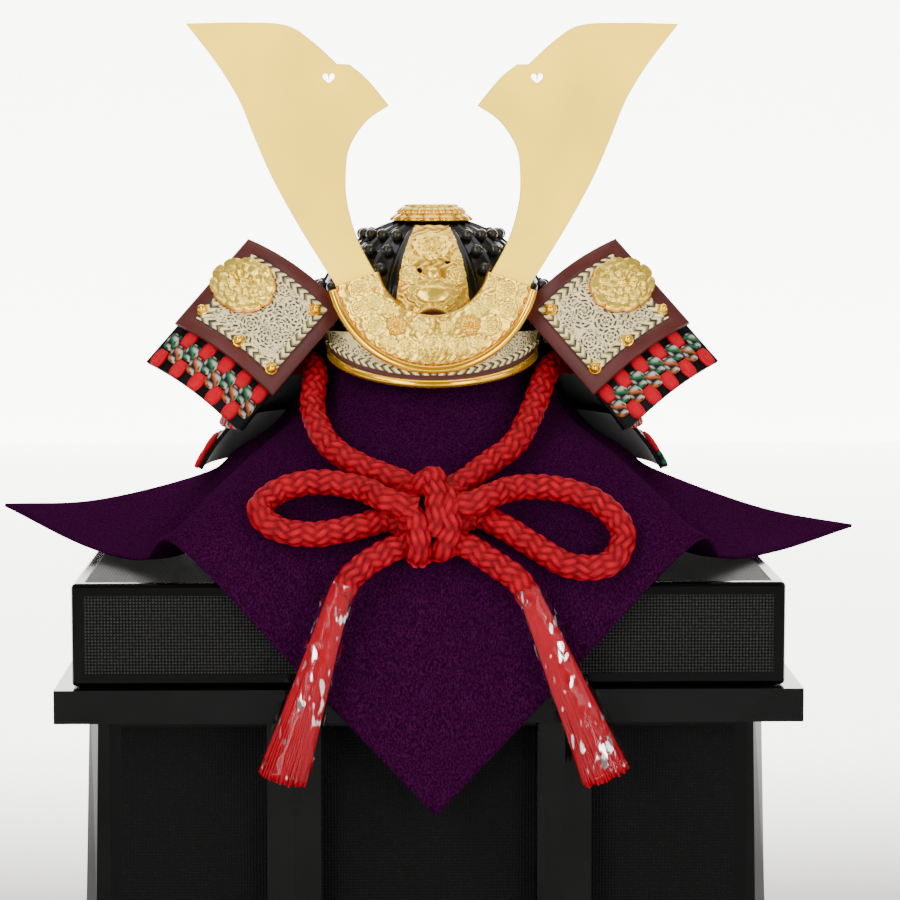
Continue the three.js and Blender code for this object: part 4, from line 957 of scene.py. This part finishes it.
def horn_shape(side):
    """A thin plate with softened edges, from its outline and its heart-shaped hole."""
    data = bpy.data.curves.new("horn_outline", "CURVE")
    data.dimensions = "2D"
    data.fill_mode = "BOTH"
    data.extrude = 0.35
    data.bevel_depth = 0.25
    data.bevel_resolution = 2
    for outline in (horn_outline(), heart_outline()):
        spline = data.splines.new("POLY")
        spline.points.add(len(outline) - 1)
        flat = np.zeros((len(outline), 4))
        flat[:, 0] = outline[:, 0] * -side
        flat[:, 1] = outline[:, 1]
        flat[:, 3] = 1
        spline.points.foreach_set("co", flat.ravel())
        spline.use_cyclic_u = True
    holder = bpy.data.objects.new("horn_outline", data)
    mesh = bpy.data.meshes.new_from_object(holder)
    verts = np.array([v.co for v in mesh.vertices])
    faces = [tuple(face.vertices) for face in mesh.polygons]
    bpy.data.objects.remove(holder)
    return np.stack((verts[:, 0], -verts[:, 2] - 0.6, verts[:, 1]), -1), faces


for side, name in SIDES:
    verts, faces = horn_shape(side)
    verts = verts @ z_turn(radians(HORN_SWEEP * side)).T + np.array((0, HOLDER_STAND + 4.6, 22.5)) + HELMET
    piece(f"horn_{name}_plate", (verts, faces), "satin_gold", f"horn_{name}", crease=True)

# Turned-back flaps
FLAP_DOWN = unit(np.array((-0.625, -0.307, -0.717)))
FLAP_ACROSS = np.array((-0.754, 0, 0.657))
FLAP_BACK = unit(np.cross(FLAP_DOWN, FLAP_ACROSS))
FLAP_WIDTH, FLAP_DROP = 50.0, 49.0
FLAP_CORNER = np.array((-36.6, -46, 11.3))
FLAP_BULGE, FLAP_CURL, CURL_START = 2.5, 20.0, 0.35


def flap_points(share, drop, behind=0.0, side=-1):
    """Places on the left flap or its mirror image, by share of its width and of its drop."""
    share, drop, behind = np.broadcast_arrays(share, drop, behind)
    bulge = FLAP_BULGE * np.sin(np.minimum(share / CURL_START, 1) * pi / 2)
    curl = FLAP_CURL * np.maximum((share - CURL_START) / (1 - CURL_START), 0) ** 2
    made = (FLAP_CORNER + FLAP_ACROSS * (share * FLAP_WIDTH)[..., None]
            + FLAP_DOWN * (drop * FLAP_DROP)[..., None] + FLAP_BACK * (curl - bulge + behind)[..., None])
    return made * np.array((-side, 1, 1)) + HELMET


def flap_facing(share, drop, side):
    across = flap_points(share + 0.01, drop, 0, side) - flap_points(share - 0.01, drop, 0, side)
    down = flap_points(share, drop + 0.01, 0, side) - flap_points(share, drop - 0.01, 0, side)
    facing = unit(np.cross(across, down))
    return facing * (1 if side < 0 else -1)


def gold_flower(radius):
    """A crest of cupped petals about a small boss."""
    sides, rings = 180, 36
    angle = (np.arange(sides) / sides * 2 * pi)[None, :]
    away = np.linspace(0.02, 1, rings)[:, None]
    limit = radius * (1 - 0.07 * (1 - np.abs(np.cos(angle * 5)) ** 0.5))
    x = away * limit * np.cos(angle)
    y = away * limit * np.sin(angle)
    height = 0.8 + flower(x, y, radius * 1.08, 10, 3.0) + 0.3 * leaf_scroll(x, y, 1.1)
    height = np.where(away * np.ones_like(angle) > 0.97, 0.6, height)
    return x, y, height


def tuft_shape():
    """A short soft loop of flat braid."""
    width, length, depth = 6.2, 8.4, 2.6
    around, along = 14, 9
    u = np.linspace(-pi / 2, pi / 2, along)[:, None]
    v = (np.arange(around) / around * 2 * pi)[None, :]
    swell = np.abs(np.cos(u)) ** 0.35
    x = width / 2 * swell * np.sign(np.cos(v)) * np.abs(np.cos(v)) ** 0.6
    z = depth / 2 * swell * np.sign(np.sin(v)) * np.abs(np.sin(v)) ** 0.6
    y = length / 2 * np.sin(u) * np.ones_like(v)
    faces = grid_faces(along, around, wrap_columns=True).tolist()
    faces += [list(range(around)), list(range((along - 1) * around, along * around))[::-1]]
    return xyz(x, y, z).reshape(-1, 3), faces


def tuft_tint(verts, kind):
    """Plain red, or stitches of black, white, green and orange."""
    wave = ((verts[:, 1] + verts[:, 0] * 0.9) / 1.25) % 4
    lean = 0.82 + 0.18 * np.sin((verts[:, 1] - np.abs(verts[:, 0])) * 4)
    if kind == "red":
        return RED * lean[:, None]
    colours = np.array((INK, WHITE * 0.8, INK, GREEN if kind == "green" else ORANGE * 0.7))
    return colours[np.floor(wave).astype(int) % 4] * lean[:, None]


def tuft_row(name, places):
    """Loops of lacing; each place is a turn, a position and a kind."""
    verts, faces = tuft_shape()
    loops = joined([(verts @ turn.T + where, faces) for turn, where, _ in places])
    tint = np.vstack([tuft_tint(verts, kind) for *_, kind in places])
    piece(name, loops, "lace", slot="red_cord", tint=tint)


STUDS = ((0.2, 0.2), (0.88, 0.78), (0.5, 0.84), (0.16, 0.84))
FRAME_ACROSS, FRAME_DOWN, LAP, FLAP_BRAID = 6 / FLAP_WIDTH, 6 / FLAP_DROP, 0.006, 4.0
CREST_ACROSS, CREST_DOWN, CREST_RADIUS, CREST_LIFT = 0.76, 0.41, 12.7, 1.4
EDGING_SECTION = (
    (0, -0.7), (0, 0.7), (0.06, 1.25), (0.2, 1.5), (0.8, 1.5), (0.94, 1.3), (1, 0.9), (1, -1.5), (0.06, -1.3),
)
# how far down the flap, the kind, and the first loop's share across
LACING = ((1.05, "red", 0.1), (1.14, "green", 0.19), (1.22, "orange", 0.1), (1.32, "red", 0.19))
UNDER_DEPTH = 5.6


def flap_leather(side, name):
    share = np.linspace(FRAME_ACROSS - LAP, 1 - FRAME_ACROSS + LAP, 136)[:, None]
    drop = np.linspace(FRAME_DOWN - LAP, 1 - FRAME_DOWN + LAP, 132)[None, :]
    across = share * FLAP_WIDTH * np.ones_like(drop)
    down = drop * FLAP_DROP * np.ones_like(share)
    colour = printed(across, down, 30 + side)
    to_side = np.minimum(across - across.min(), across.max() - across)
    to_end = np.minimum(down - down.min(), down.max() - down)
    to_edge = np.minimum(to_side, to_end)
    is_braid = to_edge < FLAP_BRAID
    along = np.where(to_side < to_end, down, across)
    stitches, raised = herringbone(along, np.clip(to_edge / FLAP_BRAID, 0, 1), 3.6)
    colour = np.where(is_braid[..., None], stitches, colour)
    colour = np.where((to_edge < 0.3)[..., None], INK, colour)
    lift = 1.05 + np.where(is_braid, 0.15 + 1.0 * raised, 0)
    shape = outer_slab(flap_points(share, drop, 0, side), lift, -1.05, flap_facing(0.5, 0.5, side))
    tint = colour.reshape(-1, 3)
    piece(f"flap_{name}_leather", shape, "printed_leather", f"flap_{name}",
          tint=np.vstack((tint, tint * 0 + 0.03)))


def flap_edging(side, name):
    """Brown leather with a rounded section, all round the flap."""
    steps = np.arange(40) / 40
    corners = [(k, 0.0) for k in steps] + [(1.0, k) for k in steps]
    corners += [(1 - k, 1.0) for k in steps] + [(0.0, 1 - k) for k in steps]
    ring = []
    for across, down in corners:
        for inward, height in EDGING_SECTION:
            s = across + (FRAME_ACROSS + across * (1 - 2 * FRAME_ACROSS) - across) * inward
            d = down + (FRAME_DOWN + down * (1 - 2 * FRAME_DOWN) - down) * inward
            ring.append(flap_points(s, d, 0, side) + flap_facing(s, d, side) * height)
    faces = grid_faces(len(corners), len(EDGING_SECTION), wrap_rows=True, wrap_columns=True)
    piece(f"flap_{name}_edging", (np.array(ring), faces if side < 0 else faces[:, ::-1]), "edge_leather",
          f"flap_edging_{name}", crease=True)


def flap_crest(side, name):
    x, y, height = gold_flower(CREST_RADIUS)
    share, drop = CREST_ACROSS + x / FLAP_WIDTH, CREST_DOWN - y / FLAP_DROP
    points, facing = flap_points(share, drop, 0, side), flap_facing(share, drop, side)
    top = (points + facing * (height + CREST_LIFT)[..., None]).reshape(-1, 3)
    under = (points + facing * CREST_LIFT).reshape(-1, 3)
    faces = grid_faces(*height.shape, wrap_columns=True)
    faces = np.concatenate((faces, (faces + len(top))[:, ::-1]))
    # Painted shade: the crest's recesses are tinted darker orange than its petals' heights.
    tint = recess_shaded(height, 0.7, 2.4, deep=(0.75, 0.36, 0.12))
    piece(f"crest_{name}_flower", (np.vstack((top, under)), faces), "relief_gold", f"crest_{name}",
          slot="rim_gold", tint=np.vstack((tint, tint)))


def under_flap(side, name):
    """The turned-back end of the middle lame, with its lacing."""
    share = np.linspace(0.04, 0.97, 60)[:, None]
    drop = np.linspace(0.84, 1.4, 30)[None, :]
    lame = slab(flap_points(share, drop, UNDER_DEPTH, side), 0.8, -0.8)
    piece(f"under_flap_{name}_lame", lame, "lame", f"under_flap_{name}", crease=True)
    places = []
    for drop, kind, start in LACING:
        for k in range(5):
            s = start + 0.175 * k
            facing = flap_facing(s, 0.5, side)
            down = unit(flap_points(s, 1, 0, side) - flap_points(s, 0, 0, side))
            turn = np.stack((np.cross(down, facing), down, facing), -1)
            places.append((turn, flap_points(s, drop, UNDER_DEPTH, side) + facing * 1.7, kind))
    tuft_row(f"under_flap_{name}_lacing", places)


stud_foot = [(0.2, 0), (2.7, 0), (2.9, 0.35), (2.5, 0.7), (0.2, 0.7)]
for side, name in SIDES:
    flap_leather(side, name)
    flap_edging(side, name)
    flap_crest(side, name)
    for number, (s, d) in enumerate(STUDS, 1):
        facing = flap_facing(s, d, side)
        verts, faces = joined([dome_shape(2.3, 3.2, 20, 8), petal_ring(stud_foot, 10, 0.06, 60)])
        verts = verts @ standing(facing).T + flap_points(s, d, 0, side) + facing * 1.2
        piece(f"flap_{name}_ball_{number}", (verts, faces), "rim_gold", f"flap_stud_{number}_{name}")
    under_flap(side, name)

# Neck guard: top radius and height, low radius and height, front angle, the angle where the fold towards the
# flap ends, the fold's share of the flap's drop at top and bottom, and its distance behind the flap
LAMES = {
    "upper": (53.8, 2, 80, -20, 44, 85, 0.05, 0.8, 3.2),
    "middle": (76, -20, 90, -41, 46, 85, 0.84, 1.38, 8.4),
    "lower": (85.8, -39, 101, -60, 84, 84, 0, 0, 0),
}


def lame_points(lame, azimuth, down):
    """Azimuth runs from the left end round the back to the right end."""
    top_radius, top_height, low_radius, low_height, front, blend, fold_top, fold_low, behind = lame
    azimuth, down = np.broadcast_arrays(np.asarray(azimuth, float), np.asarray(down, float))
    mirrored = azimuth > pi
    turn = np.where(mirrored, 2 * pi - azimuth, azimuth)
    radius = top_radius + (low_radius - top_radius) * down + 1.2 * np.sin(pi * down)
    height = top_height + (low_height - top_height) * down
    cone = xyz(-radius * np.sin(turn), -radius * np.cos(turn), height)
    if blend != front:
        weight = (1 - smooth(turn, radians(front), radians(blend)))[..., None]
        fold = flap_points(0.03, fold_top + (fold_low - fold_top) * down, behind) - HELMET
        cone = cone * (1 - weight) + fold * weight
    return cone * np.where(mirrored, -1, 1)[..., None] ** np.array((1, 0, 0)) + HELMET


LOOP_PITCH = 8.2
for name, lame in LAMES.items():
    front = radians(lame[4])
    azimuth = np.linspace(front, 2 * pi - front, 240)[:, None]
    down = np.linspace(0, 1, 24)[None, :]
    rim = 0.5 * np.exp(-((1 - down) / 0.05) ** 2) + 0.12 * np.sin(down * pi * 10) ** 2
    shape = outer_slab(lame_points(lame, azimuth, down), 0.8 + rim * np.ones_like(azimuth), -0.8, (0, 1, 0))
    piece(f"lame_{name}", shape, "lame", f"neck_lame_{name}", crease=True)
    places = []
    for at, mixed in ((0.84, False),) if name == "upper" else ((0.55, False), (0.86, True)):
        turns = np.linspace(front, 2 * pi - front, 400)
        run = run_along(lame_points(lame, turns, at))
        count = int(run[-1] / LOOP_PITCH)
        for k in range(count):
            turn = np.interp((k + 0.5) / count * run[-1], run, turns)
            where = lame_points(lame, turn, at)
            ahead = unit(lame_points(lame, turn + 0.01, at) - lame_points(lame, turn - 0.01, at))
            below = unit(lame_points(lame, turn, at + 0.05) - lame_points(lame, turn, at - 0.05))
            facing = unit(np.cross(ahead, below))
            if np.dot(facing, where - HELMET - (0, 0, -60)) < 0:
                facing = -facing
            kind = ("red", "green", "red", "orange")[(k + 2) % 4] if mixed else "red"
            turned = np.stack((np.cross(below, facing), below, facing), -1)
            places.append((turned, where + facing * 1.9, kind))
    tuft_row(f"lame_{name}_lacing", places)


# Chest: its solids keep their shape, with softened edges
def soften(name, surface, width):
    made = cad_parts[name]
    made.data.materials.clear()
    made.data.materials.append(MATERIALS[surface])
    edge = made.modifiers.new("edge", "BEVEL")
    edge.width = width * MM
    edge.segments = 3
    edge.limit_method = "ANGLE"
    edge.angle_limit = radians(25)
    edge.harden_normals = True


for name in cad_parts:
    if name.startswith("leg_"):
        soften(name, "lacquer", 0.6)
soften("chest_ledge", "lacquer", 1.0)
soften("chest_body", "lacquer_body", 0.8)
soften("chest_lid", "lacquer_lid", 0.5)
soften("core_stand", "core", 0.3)


# Floor, backdrop, lights and air
def stage_sheet(name, corners, surface):
    mesh = bpy.data.meshes.new(name)
    mesh.from_pydata(corners, [], [(0, 1, 2, 3)])
    mesh.materials.append(surface)
    made = bpy.data.objects.new(name, mesh)
    scene.collection.objects.link(made)


floor_material, floor_tree, floor_shader = blank(
    "floor", Base_Color=(0.93, 0.92, 0.9, 1), Roughness=0.75, Emission_Color=DAYLIGHT)
floor_place = node(floor_tree, "ShaderNodeSeparateXYZ", {0: place(floor_tree)})
# Painted light: the floor glows more the further back it lies, brightening it towards the backdrop.
behind = ramp(floor_tree, floor_place.outputs[1], 0.2, 0.6)
floor_tree.links.new(maths(floor_tree, "MULTIPLY", behind, 4.0), floor_shader.inputs["Emission Strength"])
stage_sheet("floor", [(-6, -4, 0), (6, -4, 0), (6, 8, 0), (-6, 8, 0)], floor_material)
backdrop_material, _, _ = blank(
    "backdrop", Base_Color=(0.9, 0.9, 0.88, 1), Emission_Color=DAYLIGHT, Emission_Strength=6.0)
stage_sheet(
    "backdrop", [(-1.6, 2.6, -0.1), (1.6, 2.6, -0.1), (1.6, 2.6, 1.9), (-1.6, 2.6, 1.9)], backdrop_material)


def softbox(name, place, aim, size, power):
    data = bpy.data.lights.new(name, "AREA")
    data.shape = "RECTANGLE"
    data.size, data.size_y = size
    data.energy = power
    lamp = bpy.data.objects.new(name, data)
    lamp.location = place
    x, y, z = np.array(aim, float) - np.array(place, float)
    lamp.rotation_euler = (atan2(hypot(x, y), -z), 0, atan2(-x, y))
    scene.collection.objects.link(lamp)


for name, *settings in (
    ("key", (-1.1, -1.4, 1.5), (0, 0, 0.25), (0.9, 0.9), 20),
    ("fill", (1.5, -1.0, 1.0), (0, 0, 0.25), (0.8, 1.2), 9),
    ("top", (0, 0.25, 1.8), (0, 0, 0.2), (1.6, 1.2), 18),
    ("horn_glow_left", (-0.72, -1.45, 0.46), (-0.07, -0.06, 0.38), (0.55, 0.9), 12),
    ("horn_glow_right", (0.76, -1.45, 0.46), (0.07, -0.06, 0.38), (0.55, 0.9), 12),
):
    softbox(name, *settings)
world = bpy.data.worlds.new("air")
world.use_nodes = True
world.node_tree.nodes["Background"].inputs["Color"].default_value = (1.0, 0.985, 0.955, 1)
world.node_tree.nodes["Background"].inputs["Strength"].default_value = 0.3
scene.world = world
